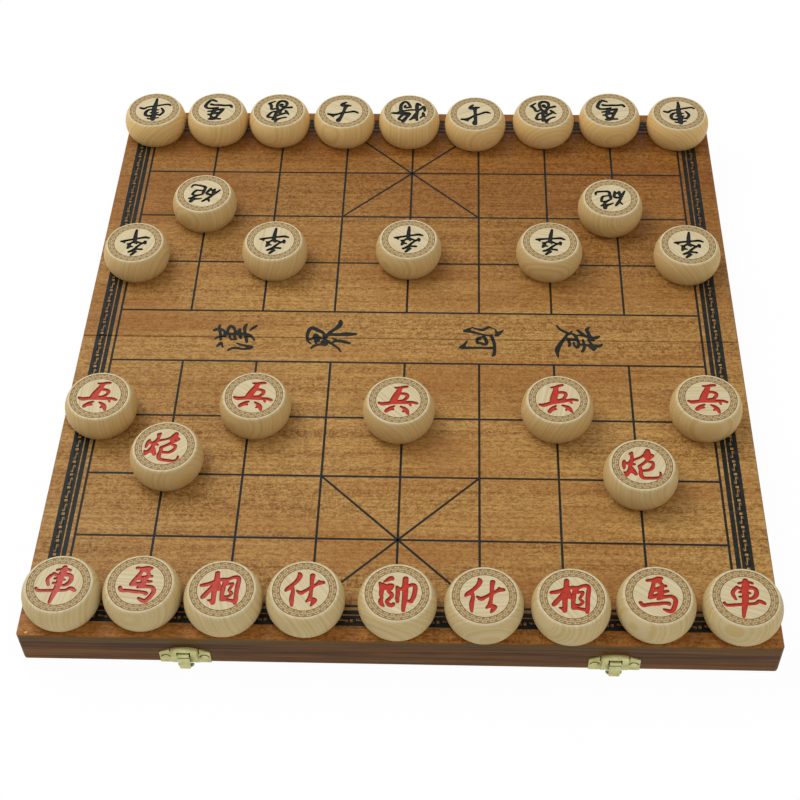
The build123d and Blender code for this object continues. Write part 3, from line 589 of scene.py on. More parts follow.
GLYPHS["elephant_black"] = strokes((0, 0), """
1.4,11.6,2 1,10.2,2.4 -.6,9,1.8 -3,7.9,1.5 -5.6,7.4,1.3 ; 3.2,9.4,2.2 2.2,8,2.4 2,5,2.2
1.2,2,2.4 .4,-.2,2.4 ; .8,5.8,1.6 -1.8,4.2,1.8 -4.4,3,1.8 -5.8,2.6,1.6 ; -7.2,4.2,1 -5.8,2.2,2
-4.8,.2,1.6 ; 3.8,7.4,1.4 6,7.4,1.8 7,6.4,2 6,4,1.8 4.6,2,1.6 2.8,1.2,1.6 ; -1.2,4,1.4
-1,1.6,2.2 -1.6,-.4,2 -3.6,-2.4,2 ; -8.4,-3.4,2.2 -6.2,-3.1,1.8 -4,-3,2 -2,-1.2,1.8 ; .4,-.4,2.2
1.2,-3,1.8 1.4,-6,1.9 .4,-9,2.2 -1.8,-10.2,2.2 -4.4,-9.2,2.2 -5.2,-7,2 -4.6,-4.8,1.6 ;
-4,-4.2,1.6 -2.2,-4,1.8 -.8,-5.2,1.6 -1.4,-6.6,1.8 -2.4,-6,1.4 ; 2.4,-1.8,1.4 4.2,-1.2,1.8
5.2,-1.8,1.8 5.4,-4.4,2 6.2,-6.6,2 7.2,-7.2,1.6 5.6,-8.4,1.6 3.2,-9.8,1""")
GLYPHS["soldier_black"] = strokes((0, 0), """
1.4,11.4,1.4 .2,10,1.9 -1.6,8.6,1.1 ; 3,8.6,1.6 1.2,7.6,1.8 -.4,6.2,1.8 -1.6,4.4,1.6
-3.4,2.4,1.4 -5.2,1,1.6 -6.6,.2,2 -6.4,-.6,1.4 ; -6.8,1.6,1.4 -6.6,.6,1.6 ; -4.8,6.6,1.6
-2.6,6.4,1.4 -.6,6.6,1.6 ; -.2,9.6,1.4 -.4,7,1.6 ; -4,1,1.4 -2.4,.2,1.4 -.6,-.6,1.6 .2,-1.4,1.6
; -1.2,1.2,1.2 -.4,0,1.4 ; 4,5.2,1.4 3.4,3.8,2.2 3.4,2,2 4.4,1.2,1.1 ; 1.2,4,1 2.6,3.8,1.6 ;
3.2,1.6,1.6 1.8,.4,1.4 .8,-.6,1.4 ; 0,.2,1.8 0,-3,2.4 0,-6,2.2 -.2,-9,1.8 -.3,-11.2,1.2 ;
-8.8,-3.4,1.2 -6.4,-4.2,1.9 -3,-3.6,1.5 1,-2.8,1.5 5,-1.9,1.6 7.4,-1.2,1.9 8.8,-1.2,1 ;
6.4,.2,.9 7,-1,1.6""")
GLYPHS["cannon_black"] = strokes((0, 0), """
-2.6,7,1.4 -3.8,5,1.9 -5.4,1.8,1.8 -6.6,-1.6,2 -8,-4.6,1.6 -8.9,-6.6,1.1 ; -6.8,5.8,.9
-5.8,4.4,1.6 -4.8,4.2,1.8 ; -5.4,-.8,1.4 -3.4,-.4,1.8 -2,-1.2,1.8 -2.2,-3.6,1.8 -2.6,-6.2,1.2 ;
-5.8,-2.8,2 -5.4,-5.2,1.9 -5.4,-6.4,1.2 ; -5.2,-4.8,1.8 -2.8,-4.8,1.8 ; 4.4,9.6,2.4 4.2,8,2.6
2.8,6.6,1.9 .8,5.8,1.4 -.8,4.8,1 ; 6.6,7.4,1.4 5,6.2,1.9 4.2,4.6,1.7 2.8,3,1.6 1.2,1.8,1.4 ;
3.8,3.2,1.2 6,3.4,1.4 6.4,2.4,1.6 6,.2,1.7 5.2,-1.4,1.5 3.4,-1.9,1.2 1.6,-2.4,1.3 ; .2,1,1.4
.4,-1,1.9 .8,-4,1.8 1.4,-6,1.9 4,-6.3,1.5 7.6,-6,1.5 9.4,-5.4,1.5 9.8,-4,1.3 9.8,-3,.9""")
print(f"{len(GLYPHS)} drawings")

# %% The words in the river
GLYPHS["river_han"] = strokes((0, 0), """
-8.4,10.4,.8 -7.2,9.4,1.6 -5.8,8.2,2.2 -7.2,7.4,1.2 -9,6.6,.7 ; -11.4,3.2,1.2 -9.8,1,1.6
-9.6,-2,1.6 -10.2,-5,1.4 -10,-8.4,1.6 -8.8,-10.8,2.2 -8,-8.6,1.8 -7,-5,1.4 -5.6,-1.6,.9 ;
-2,12,1 -.6,10.6,1.5 0,8.4,1.5 .2,7.4,1.2 .4,6.2,1.2 ; -2.6,8.6,1.4 .8,9,1.5 4,9.8,1.5
7.2,10.6,1.5 9.4,10.2,1.3 ; 5.2,13.2,2 6,11.4,2.2 5.6,8.6,1.6 3.8,6.8,1.4 1.2,6.2,1.4 ; 2,6.4,2
2,3,2.2 2,0,2.2 2.2,-3.4,2.4 1.8,-6.6,2.4 .8,-9.2,2 -1.2,-11.2,1.2 -3.2,-12,.7 ; 2.6,5,1.2
5,5,1.6 8.2,4.2,1.8 8.4,2.8,1.8 6.4,1,1.6 3.4,.4,1.4 ; -2.6,1.8,1.2 -2.2,-.6,1.5 ; -2.4,2.2,.9
-.6,3.2,.9 1,3.6,1 ; -2,-.4,1.4 .2,.4,1.2 ; -1.4,-3.6,1.4 1.4,-2.8,1.8 4,-2.4,1.8 6,-2.4,1.6 ;
3,-1.6,1.4 5.4,-1.8,1.4 ; -4.4,-7.6,1.4 -2.4,-7.2,1.8 .6,-6.2,1.5 4,-5.6,1.6 7.4,-5.2,2
10,-6,1.5 ; 5.4,-8.8,.9 7.2,-10.2,1.8 9,-12.2,1.7""")
GLYPHS["river_boundary"] = strokes((0, 0), """
-10.6,11.6,1 -8.8,10.4,1.8 -7.6,8.2,1.6 -7.4,5.2,1.5 -7.6,3.4,1.8 -7.2,2.4,1.4 ; -6.6,12.4,.9
-4.6,14.2,1.1 -1.6,14.8,1.4 2.4,14.6,1.9 5.4,13.4,2.4 6.2,11.6,2.6 4.4,8.6,2.4 2.6,5.6,2
1,4.4,1.4 ; -3.6,13.6,1.4 -2.4,11.6,1.8 -1.8,8.6,2 -2,5,1.6 ; -6,9.2,1.4 -3.6,9.6,1.5
-1.2,10.4,1.8 .6,9.8,1.9 0,8.6,1.6 -2.6,7.4,1.2 -5,7.6,1 ; -7.4,3.6,2 -4.4,3.6,1.9 -1.2,4.4,1.9
1.4,4.6,1.4 ; -6,5.8,.9 -4.4,5.4,1 ; -3.6,3.4,1.9 -5.6,.8,1.8 -7.4,-1.4,1.5 -9.6,-4,1.2
-11.6,-5.6,1 -13.2,-6.3,.6 ; -.4,2.8,2 2,1.6,2.1 4.6,-.8,2 6.4,-2.8,2.4 8.8,-4.6,2.9 11.4,-5,2.3
13,-4.9,1.2 ; -5.8,-1,1.1 -4.4,-2.6,1.9 -4.2,-5.4,2.2 -5.2,-8.6,2 -6,-11.2,1.7 ; -3.2,-2.8,1.2
-2.2,-.6,.7 ; .4,2.6,1.4 1,-1,2.2 1,-4.6,2.4 1.4,-8.6,2.8 1.4,-11.6,2.6 1.6,-14.8,1.6""")
GLYPHS["river_he"] = strokes((0, 0), """
-7.6,12.6,1 -6.4,11.2,1.9 -4.6,9.6,2.6 -3.6,8.6,1.6 ; -6,8.8,1.2 -8.6,8.2,.6 -9.8,6.4,.5 ;
-10.2,5.4,1 -10.6,4,1.6 -9.2,2.2,1.9 -8.2,.2,1.9 -8.6,-2,1.5 -9.4,-4.4,.8 -10.4,-6,.6 ;
-9.4,-7,1 -8,-8.6,2.4 -7.2,-10.6,1.8 ; -7.2,-9,2.2 -6.2,-5.4,1.6 -4.8,-1.4,1.3 -3.8,2.2,1
-3.2,5,.7 ; -3.4,5.6,1.9 -1.6,6.2,1.8 3,7.4,1.7 8,7.6,1.7 12,7.2,1.8 13,6.6,1.4 ; 6.6,7.4,2
6.8,4,1.7 6.7,0,1.5 6.7,-5,1.5 6.8,-9,1.8 6.8,-12,1.8 6.2,-13.4,1 ; 1.4,-9.2,.7 3.8,-10.4,1.5
6.2,-12,2.6 ; -2.2,1.2,1.6 -1.6,-1.2,1.8 -.6,-2.8,1.9 1,-3,1.6 3,-2.6,1.6 ; -2.4,1.2,1.6
0,2.4,1.9 3.2,2.7,1.8 3.8,1.2,1.8 2.8,-.8,1.6 2.6,-2.4,1.4""")
GLYPHS["river_chu"] = strokes((0, 0), """
-4.2,15.2,1.3 -3.2,13.4,2.2 -2.6,11.2,2.6 -3.6,8.6,1.9 -4.8,5.6,1.7 -5,2.2,1.1 ; -11.6,9.6,.9
-9.8,8,2 -7.4,8.6,2 -4.6,9.6,1.9 -1.8,11.2,2 -.8,11.6,1.4 ; -5.2,6.2,1.6 -7.2,4.2,1.9 -9,2.6,1.6
; 2.6,16.4,1.3 3.8,14.6,2.2 3.6,12,2.4 3.4,9,1.9 2.8,5.6,1.6 2.6,3.2,1.3 ; -1.8,8.6,1.1
.8,9.6,1.4 3.6,10.6,1.9 6.2,11.2,2.2 7.2,11.4,1.2 ; 5.8,12.6,1.2 6,11.2,2 4.4,9.4,1.6 ;
-1.2,5.4,1.2 1.2,5.6,1.4 4.2,6,1.6 6.6,5.4,1.7 8.4,4.4,1.4 ; -6,-.6,1.4 -4.8,.6,1.9 -1.6,1.8,1.8
1.6,2.6,1.5 4.4,2.2,1.7 5.2,1.2,1.2 3,-.2,1.2 1,-.4,1 ; -1.2,1.4,1.8 -1.6,-1.4,1.8 -2,-4.4,1.6 ;
-1.6,-3.6,1.6 .6,-3.2,1.5 2.4,-2.8,1.7 4,-3.4,1.1 ; -8.2,-1.2,.8 -6.2,-2.6,1.5 -5.4,-4.2,1.6 ;
-6.6,-3.2,1.5 -8.2,-6.2,1.5 -10.4,-8.8,1.3 -13.2,-10.2,.7 ; -5.6,-4.2,1.5 -3.4,-5.2,1.6 -.4,-7,2
3.2,-9,2.4 6.6,-10.4,2.9 9.6,-10.6,2 13,-10.2,.8""")
print(f"{len(GLYPHS)} drawings")

# %% [markdown]
# ## The printed board
# The print is near-black ink on the veneer: nine files, ten ranks, the two palaces, a frame line
# and a border of bars with a key pattern between the outer two. Real ink has almost no thickness,
# so every bar is a sliver a few hundredths of a millimetre high. Each tray carries its own half;
# the two run down the chamfers and meet at the fold. Bars that cross differ by a thousandth of a
# millimetre in height, so that no two faces lie in one plane.

# %% Ink
INK_DARK = (0.0080, 0.0110, 0.0090)
INK_WORN = (0.034, 0.030, 0.020)


def ink():
    g = Graph("ink")
    blotch = g.streaks(g.place, (60, 420, 60), 4, 0.6)
    colour = g.mix(g.times(g.ramp(blotch, 0.45, 0.75), 0.7), INK_DARK, INK_WORN)
    normal = g.bump(blotch, 0.00004, 0.4)
    rough = g.linear(blotch, 0.2, 0.38)
    return g.finish(Base_Color=colour, Roughness=rough, Normal=normal, Specular_IOR_Level=0.12)


INK = ink()
print("ink ready")

# %% Lines, diagonals and bars
PRINT_X, PRINT_Y = -1.7, 0.85  # the print sits a little off the board's middle
PRINT_LEAN = -0.002  # and its lines across the board run a little downhill to the right
FRAME_X = 0.9  # its frame and border are a little off its grid
FILE_PITCH, RANK_PITCH = 44.7, 43.3
BANK = 21.0  # from the river's middle to the first rank
FILES, RANKS = 4, 4
LINE, FRAME_LINE = 1.35, 1.4  # widths
INK_SUNK, INK_PROUD = 0.02, 0.02  # mm below and above the veneer
FILES_MORE, RANKS_MORE, PALACE_MORE, WORDS_MORE = 0.001, 0.002, 0.003, 0.002  # mm more above it
BEYOND = 1e3  # mm, past every edge of the board
HALF_X = FILES * FILE_PITCH
HALF_Y = BANK + RANKS * RANK_PITCH
EDGE_NEAR, EDGE_FAR = near_high.y, far_low.y
FOLD_NEAR, FOLD_FAR = EDGE_NEAR - EASED, EDGE_FAR + EASED  # where the chamfers start
slabs = {"near": [], "far": []}


def drop(y):
    """How far the panels' top is let down at y by the chamfers along the fold, in mm."""
    return np.maximum(np.minimum(y - FOLD_NEAR, FOLD_FAR - y), 0)


def slab(corners, proud):
    """A quadrilateral of ink, its corners in print coordinates, counter-clockwise. It is cut at
    the fold and where the chamfers start."""
    flat = np.array(corners, float)
    flat += (PRINT_X, PRINT_Y) + flat[:, :1] * (0, PRINT_LEAN)
    for half, low_y, high_y in (("near", -BEYOND, FOLD_NEAR), ("near", FOLD_NEAR, EDGE_NEAR),
                                ("far", EDGE_FAR, FOLD_FAR), ("far", FOLD_FAR, BEYOND)):
        clipped = flat.copy()
        clipped[:, 1] = np.clip(clipped[:, 1], low_y, high_y)
        if np.ptp(clipped[:, 1]) > 1e-6:
            slabs[half].append((clipped, proud))


def bar(x0, y0, x1, y1, proud=0.0):
    """A bar between two opposite corners, whichever way round they come."""
    (x0, x1), (y0, y1) = sorted((x0, x1)), sorted((y0, y1))
    slab([(x0, y0), (x1, y0), (x1, y1), (x0, y1)], proud)


def ring(inner, outer, proud):
    """A rectangular band round the frame line, from inner to outer mm away from it."""
    a, b = HALF_X + inner, HALF_X + outer
    c, d = HALF_Y + inner, HALF_Y + outer
    for side in (-1, 1):
        bar(FRAME_X + side * a, -d, FRAME_X + side * b, d, proud)
        bar(FRAME_X - a, side * c, FRAME_X + a, side * d, proud)


def grid():
    for k in range(-FILES + 1, FILES):
        x = k * FILE_PITCH
        for side in (1, -1):
            bar(x - LINE / 2, side * BANK, x + LINE / 2, side * HALF_Y, FILES_MORE)
    for side in (-1, 1):
        for k in range(RANKS):
            y = side * (BANK + k * RANK_PITCH)
            bar(FRAME_X - HALF_X, y - LINE / 2, FRAME_X + HALF_X, y + LINE / 2, RANKS_MORE)
        for lean in (-1, 1):
            palace(side, lean)


def palace(side, lean):
    """One diagonal of a palace, as a strip along its own direction."""
    start = np.array([-FILE_PITCH * lean, side * HALF_Y])
    end = np.array([FILE_PITCH * lean, side * (HALF_Y - 2 * RANK_PITCH)])
    run = (end - start) / np.linalg.norm(end - start)
    off = np.array([-run[1], run[0]]) * LINE / 2
    slab([start - off, end - off, end + off, start + off], PALACE_MORE)


ring(-FRAME_LINE / 2, FRAME_LINE / 2, 0.0)
BARS = ((2.6, 5.2), (5.9, 7.8), (9.9, 12.3))  # mm outward from the frame line
for inner, outer in BARS:
    ring(inner, outer, 0.0)
grid()
print(f"{sum(len(s) for s in slabs.values())} bars of ink so far")

# %% [markdown]
# ## The key pattern
# Between the two outer bars runs a fret: a short upright block, then a square S whose ends curl in,
# over and over. It is printed in reverse, so what has to be made is the dark that surrounds the
# light figures. One unit is seven rectangles; loops lay it along all four sides.

# %% The fret between the outer bars
FRET_IN, FRET_OUT = 7.7, 10.0
FRET_UNIT = 9.2
FRET_SPREAD = 0.08  # mm that the ink ran outside each rectangle
FRET_DARK = (  # (along from, to, out from, to) in mm, for one unit
    (0.0, 1.7, 0.0, 0.3),
    (1.7, 2.55, 0.0, 2.3),
    (2.55, 5.6, 0.0, 0.85),
    (4.5, 7.65, 1.45, 2.3),
    (3.2, 4.5, 1.6, 1.9),
    (5.6, 6.95, 0.4, 0.7),
    (7.65, 9.2, 0.0, 2.3),
)


def fret(length, put):
    """Lays whole units over the length, stretched a little to fit."""
    units = round(2 * length / FRET_UNIT)
    scale = 2 * length / (units * FRET_UNIT)
    for k in range(units):
        start = -length + k * FRET_UNIT * scale
        for u0, u1, v0, v1 in FRET_DARK:
            put(start + u0 * scale - FRET_SPREAD, start + u1 * scale + FRET_SPREAD,
                FRET_IN + v0 - FRET_SPREAD, FRET_IN + v1 + FRET_SPREAD)


for side in (-1, 1):

    def along_x(u0, u1, v0, v1, side=side):
        bar(FRAME_X + side * u0, side * (HALF_Y + v0), FRAME_X + side * u1, side * (HALF_Y + v1))

    def along_y(u0, u1, v0, v1, side=side):
        bar(FRAME_X + side * (HALF_X + v0), -side * u0, FRAME_X + side * (HALF_X + v1), -side * u1)

    fret(HALF_X + FRET_IN, along_x)
    fret(HALF_Y + FRET_IN, along_y)
    for other in (-1, 1):
        bar(FRAME_X + side * (HALF_X + FRET_IN), other * (HALF_Y + FRET_IN),
            FRAME_X + side * (HALF_X + FRET_OUT), other * (HALF_Y + FRET_OUT))


def boxes(items):
    """Vertices and faces of many slivers at once: eight corners and six sides each."""
    flat = np.array([c for c, _ in items])
    proud = np.array([p for _, p in items])
    level = TOP - drop(flat[:, :, 1:])
    low, high = level - INK_SUNK, level + INK_PROUD + proud[:, None, None]
    verts = np.concatenate([np.dstack([flat, low]), np.dstack([flat, high])], axis=1)
    sides = [[3, 2, 1, 0], [4, 5, 6, 7]]
    sides += [[k, (k + 1) % 4, (k + 1) % 4 + 4, k + 4] for k in range(4)]
    faces = np.array(sides)[None] + 8 * np.arange(len(items))[:, None, None]
    return verts.reshape(-1, 3), faces.reshape(-1, 4)


for half, items in slabs.items():
    verts, faces = boxes(items)
    new_piece(f"print_lines_{half}", verts, faces.tolist(), INK, f"{half}_tray")
    print(f"{half} half: {len(items)} slivers")

# %% [markdown]
# ## Four words in the river
# The two words on the left read with their tops to the left, and the two on the right with their
# tops to the right. Each lies across the fold, so it is cut there. On a fine grid, the points near
# the outline are pulled onto it along the slope of the distance, and the squares that lie inside
# are kept. That gives a clean edge with an ordinary grid of four-sided faces.

# %% From a distance field to a thin sheet
def step(value, low, high):
    """0 below low and 1 above high, with the cubic 3t^2 - 2t^3 between."""
    t = np.clip((value - low) / (high - low), 0, 1)
    return t * t * (3 - 2 * t)


def snapped(gx, gy, s, grid):
    """Moves the points within 3/4 of a step of the outline onto it: each goes down the slope of
    the distance s by s itself."""
    down, right = np.gradient(s, grid)
    steep = np.maximum(down**2 + right**2, 0.25)
    close = np.abs(s) < 0.75 * grid
    gx = gx - np.where(close, s * right / steep, 0)
    gy = gy - np.where(close, s * down / steep, 0)
    return gx, gy, np.where(close, 0.0, s)


def closed_sheet(back, front, inside):
    """Closes the grid squares whose four corners are inside into a solid between two surfaces."""
    rows, cols = inside.shape
    index = np.arange(rows * cols).reshape(rows, cols)
    quads = np.dstack([index[:-1, :-1], index[:-1, 1:], index[1:, 1:], index[1:, :-1]])
    kept = inside[:-1, :-1] & inside[:-1, 1:] & inside[1:, 1:] & inside[1:, :-1]
    quads = quads[kept]
    edges = np.concatenate([quads[:, [k, (k + 1) % 4]] for k in range(4)])
    code = edges[:, 0].astype(np.int64) * rows * cols + edges[:, 1]
    opposite = edges[:, 1].astype(np.int64) * rows * cols + edges[:, 0]
    rim = edges[~np.isin(code, opposite)]
    used, flat = np.unique(quads, return_inverse=True)
    rim = np.searchsorted(used, rim)
    quads = flat.reshape(-1, 4)
    count = len(used)
    walls = np.column_stack([rim[:, 0], rim[:, 1], rim[:, 1] + count, rim[:, 0] + count])
    faces = np.concatenate([quads[:, ::-1], quads + count, walls])
    return np.vstack([back.reshape(-1, 3)[used], front.reshape(-1, 3)[used]]), faces


print("sheet helpers ready")

# %% The words
WORDS = (  # name, x and y in print coordinates, turn in degrees
    ("river_han", -104.5, -0.65, 90),
    ("river_boundary", -45.5, 0.85, 90),
    ("river_he", 46.5, -1.15, -90),
    ("river_chu", 102.5, -1.65, -90),
)
WORD_BOLDER = 0.2  # mm that the ink spread outside the drawn strokes
WORD_GRID, WORD_REACH = 0.25, 18.0  # mm: the grid's step, and how far it goes each way
WORD_SPARE = 8  # more rows, because the words lie up to 2 mm off the fold


def word_half(glyph, x, y, turn, near):
    """The part of one printed word on one tray, as a closed sliver."""
    steps = int(WORD_REACH / WORD_GRID)
    across = PRINT_X + x + np.arange(-steps, steps + 1) * WORD_GRID
    away = np.arange(0, steps + WORD_SPARE) * WORD_GRID
    away = EDGE_NEAR - away[::-1] if near else EDGE_FAR + away
    gx, gy = np.meshgrid(across, away)
    angle = math.radians(turn)
    lx, ly = gx - PRINT_X - x, gy - PRINT_Y - y
    own = np.dstack([lx * math.cos(angle) + ly * math.sin(angle),
                     ly * math.cos(angle) - lx * math.sin(angle)])
    s = ink_distance(own.reshape(-1, 2), glyph).reshape(gx.shape) - WORD_BOLDER
    gx, gy, s = snapped(gx, gy, s, WORD_GRID)
    gy = np.minimum(gy, EDGE_NEAR) if near else np.maximum(gy, EDGE_FAR)
    level = TOP - drop(gy)
    low = np.dstack([gx, gy, level - INK_SUNK])
    high = np.dstack([gx, gy, level + INK_PROUD + WORDS_MORE])
    return closed_sheet(low, high, s <= 0.0)


for name, x, y, turn in WORDS:
    for half, near in (("near", True), ("far", False)):
        verts, faces = word_half(GLYPHS[name], x, y, turn, near)
        new_piece(f"{name}_{half}", verts, faces.tolist(), INK, f"{half}_tray")
    print(f"{name}: {len(faces)} faces on the far half")

# %% [markdown]
# ## The latches' pressed sheet
# The photograph shows soft pressed brass: an arched housing that swells out of the base and bends
# over at its top, and a lever whose upper end is rolled. Both are thin sheet, so the housing is a
# distance field again, this time with a depth at each point, and the lever is a ribbon that follows
# a drawn line.

# %% The latch bases
BASE_HALF, BASE_END, BASE_EAR = 13.5, 9.5, 12.0  # mm: half width, heights at the ends and inside
ARCH_HALF, ARCH_TOP, ARCH_SAG = 7.5, 13.6, 1.4
ARCH_OUT, ARCH_STEEP = 2.75, 0.8  # how far the housing is pressed out, and over what width it rises
BROW = 2.6  # height of the bend at the housing's top
SHEET = 0.8
WINDOW_HALF, WINDOW_LOW, WINDOW_HIGH = 3.6, 8.2, 12.5
SLIT_AT, SLIT_HALF, SLIT_LOW = 7.55, 0.3, 8.4  # the cuts between the ears and the housing
NOTCH_HALF, NOTCH_HIGH = 5.0, 1.5  # the keeper comes up into this when the box is shut
FLARE_HALF, FLARE_OUT, FLARE_HIGH = 5.8, 1.0, 4.5  # the housing's lip over the hook
FLARE_STEEP = 2.0
WALL_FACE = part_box("near_outer_wall")[0].y / MM
BACK_GAP = 0.02  # mm between a base and the wall
BASE_GRID, BASE_SPARE = 0.2, 2  # mm, and steps beyond the outline


def base_outline(x, up):
    """Distance outside a latch base, seen from the front: ears joined to the arch, less the
    window, two slits and the notch for the keeper."""
    side = np.abs(x)
    slope = (BASE_EAR - BASE_END) / (BASE_HALF - ARCH_HALF)
    ear_top = (up - BASE_EAR + slope * np.maximum(side - ARCH_HALF, 0)) / math.hypot(1, slope)
    ears = np.maximum.reduce([side - BASE_HALF, -up, ear_top])
    arch_top = up - ARCH_TOP + ARCH_SAG * (x / ARCH_HALF) ** 2
    arch = np.maximum.reduce([side - ARCH_HALF, -up, arch_top])
    window = np.maximum.reduce([side - WINDOW_HALF, up - WINDOW_HIGH, WINDOW_LOW - up])
    slit = np.maximum(np.abs(side - SLIT_AT) - SLIT_HALF, SLIT_LOW - up)
    notch = np.maximum(side - NOTCH_HALF, up - NOTCH_HIGH)
    return np.maximum.reduce([np.minimum(ears, arch), -window, -slit, -notch])


def base_depth(x, up):
    """How far the front stands off the wall: a wedge that starts flush at the foot, then an
    elliptical bend at the top, and an S-curve at both sides. A lip flares out at the foot."""
    level = up + ARCH_SAG * (x / ARCH_HALF) ** 2
    start = ARCH_TOP - BROW
    bend = np.sqrt(np.clip(1 - ((level - start) / BROW) ** 2, 0, 1))
    wedge = np.where(level < start, np.maximum(level, 0) / start, bend)
    lip = step(FLARE_HALF - np.abs(x), 0, FLARE_STEEP) * step(FLARE_HIGH - up, 0, FLARE_HIGH)
    return SHEET + ARCH_OUT * wedge * step(ARCH_HALF - np.abs(x), 0, ARCH_STEEP) + FLARE_OUT * lip


def latch_base(node):
    low, high = (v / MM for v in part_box(node))
    steps = int(BASE_HALF / BASE_GRID) + BASE_SPARE
    across = np.arange(-steps, steps + 1) * BASE_GRID
    up = np.arange(-BASE_SPARE, int(ARCH_TOP / BASE_GRID) + BASE_SPARE + 1) * BASE_GRID
    gx, gy = np.meshgrid(across, up)
    gx, gy, s = snapped(gx, gy, base_outline(gx, gy), BASE_GRID)
    out = base_depth(gx, gy)
    x, z = gx + (low.x + high.x) / 2, gy + RIM
    front = np.dstack([x, WALL_FACE - out, z])
    back = np.dstack([x, WALL_FACE - np.maximum(out - SHEET, BACK_GAP), z])
    verts, faces = closed_sheet(back, front, s <= 0.0)
    piece = new_piece(f"{node}_pressed", verts, faces.tolist(), LATCH_BRASS, "near_tray",
                      smooth=40)
    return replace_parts(piece, node)


for node in LATCH_BASES:
    print(f"{node}: {len(latch_base(node).data.polygons)} faces")

# %% The latch levers
LEVER = np.array([  # out from the wall, up from the rim, half width, half thickness, in mm
    (1.95, 10.55, 2.9, 0.26), (1.05, 10.5, 2.9, 0.26), (0.62, 11.2, 2.9, 0.26),
    (0.95, 12.0, 2.9, 0.26), (1.7, 12.15, 2.9, 0.27), (2.4, 11.5, 2.9, 0.33),
    (3.3, 11.35, 2.95, 0.4), (4.15, 11.25, 3.0, 0.42), (4.55, 10.7, 3.0, 0.42),
    (4.35, 9.9, 3.0, 0.4), (4.1, 9.2, 3.0, 0.4), (4.1, 6.0, 3.0, 0.4), (4.2, 3.0, 2.95, 0.4),
    (4.3, 0.6, 2.85, 0.4), (4.2, -0.45, 2.6, 0.4), (3.6, -0.8, 2.5, 0.38), (2.8, -0.8, 3.6, 0.38),
    (2.1, -0.72, 4.3, 0.36), (1.75, -0.4, 4.3, 0.33), (1.72, 0.0, 4.3, 0.3),
])


def latch_lever(node, body):
    """A ribbon: at each point of the smoothed line, four corners, half a thickness to each side of
    the line and half a width to the left and right."""
    low, high = (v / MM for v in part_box(node))
    line = smoothed(LEVER)
    run = np.gradient(line[:, :2], axis=0)
    run /= np.linalg.norm(run, axis=1)[:, None]
    off = np.column_stack([run[:, 1], -run[:, 0]]) * line[:, 3:]
    corners = []
    for side, face in ((-1, 1), (1, 1), (1, -1), (-1, -1)):
        place = line[:, :2] + face * off
        x = (low.x + high.x) / 2 + side * line[:, 2]
        corners.append(np.column_stack([x, WALL_FACE - place[:, 0], RIM + place[:, 1]]))
    verts = np.stack(corners, axis=1).reshape(-1, 3)
    start = np.arange(len(line) - 1)[:, None] * 4
    faces = [start + [k, k + 4, (k + 1) % 4 + 4, (k + 1) % 4] for k in range(4)]
    last = len(verts) - 4
    caps = [[0, 1, 2, 3], [last + 3, last + 2, last + 1, last]]
    faces = np.concatenate(faces).tolist() + caps
    piece = new_piece(f"{node}_ribbon", verts, faces, LEVER_BRASS, body, smooth=50)
    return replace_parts(piece, node)


for side in ("left", "right"):
    lever = latch_lever(f"latch_{side}_lever", f"latch_{side}")
    print(f"{lever.name}: {len(lever.data.polygons)} faces")

# %% [markdown]
# ## Pale wood, grain lying flat
# The pieces are turned from a pale, fine-grained wood whose grain lies flat. So the face shows fine
# parallel streaks, on a slant that differs from piece to piece, and the rings come out on the
# swelling sides as upright lines. Every vertex carries where it was in the log, with the log's
# middle along its own Z, so the pattern turns with its piece. Three more numbers per vertex say how
# far it is scorched, how far it lies down the side, and its distance from the edge of the paint.

# %% Pale wood with painted carving
PALE = (0.640, 0.545, 0.345)
PALE_RING = (0.440, 0.325, 0.150)
PALE_SIDE = (0.520, 0.360, 0.125)
# painted light and shade on the pieces' sides, by row: darker and warmer behind the front row,
# brighter again in the back rows
SIDE_LIGHT_BY_ROW = (  # for the sides: y in metres where a tint starts and is full, and its colour
    ((-0.16, -0.10), (0.99, 0.89, 0.76)),
    ((0.10, 0.16), (1.20, 1.16, 1.08)),
)
RINGS_FINE, RINGS_WIDE = 640.0, 150.0  # changes of the noise in a metre from the log's middle
TAN = (0.330, 0.192, 0.054)
SCORCH = (0.075, 0.030, 0.007)
RED_PAINT = (0.500, 0.040, 0.022)
BLACK_PAINT = (0.0080, 0.0095, 0.0085)


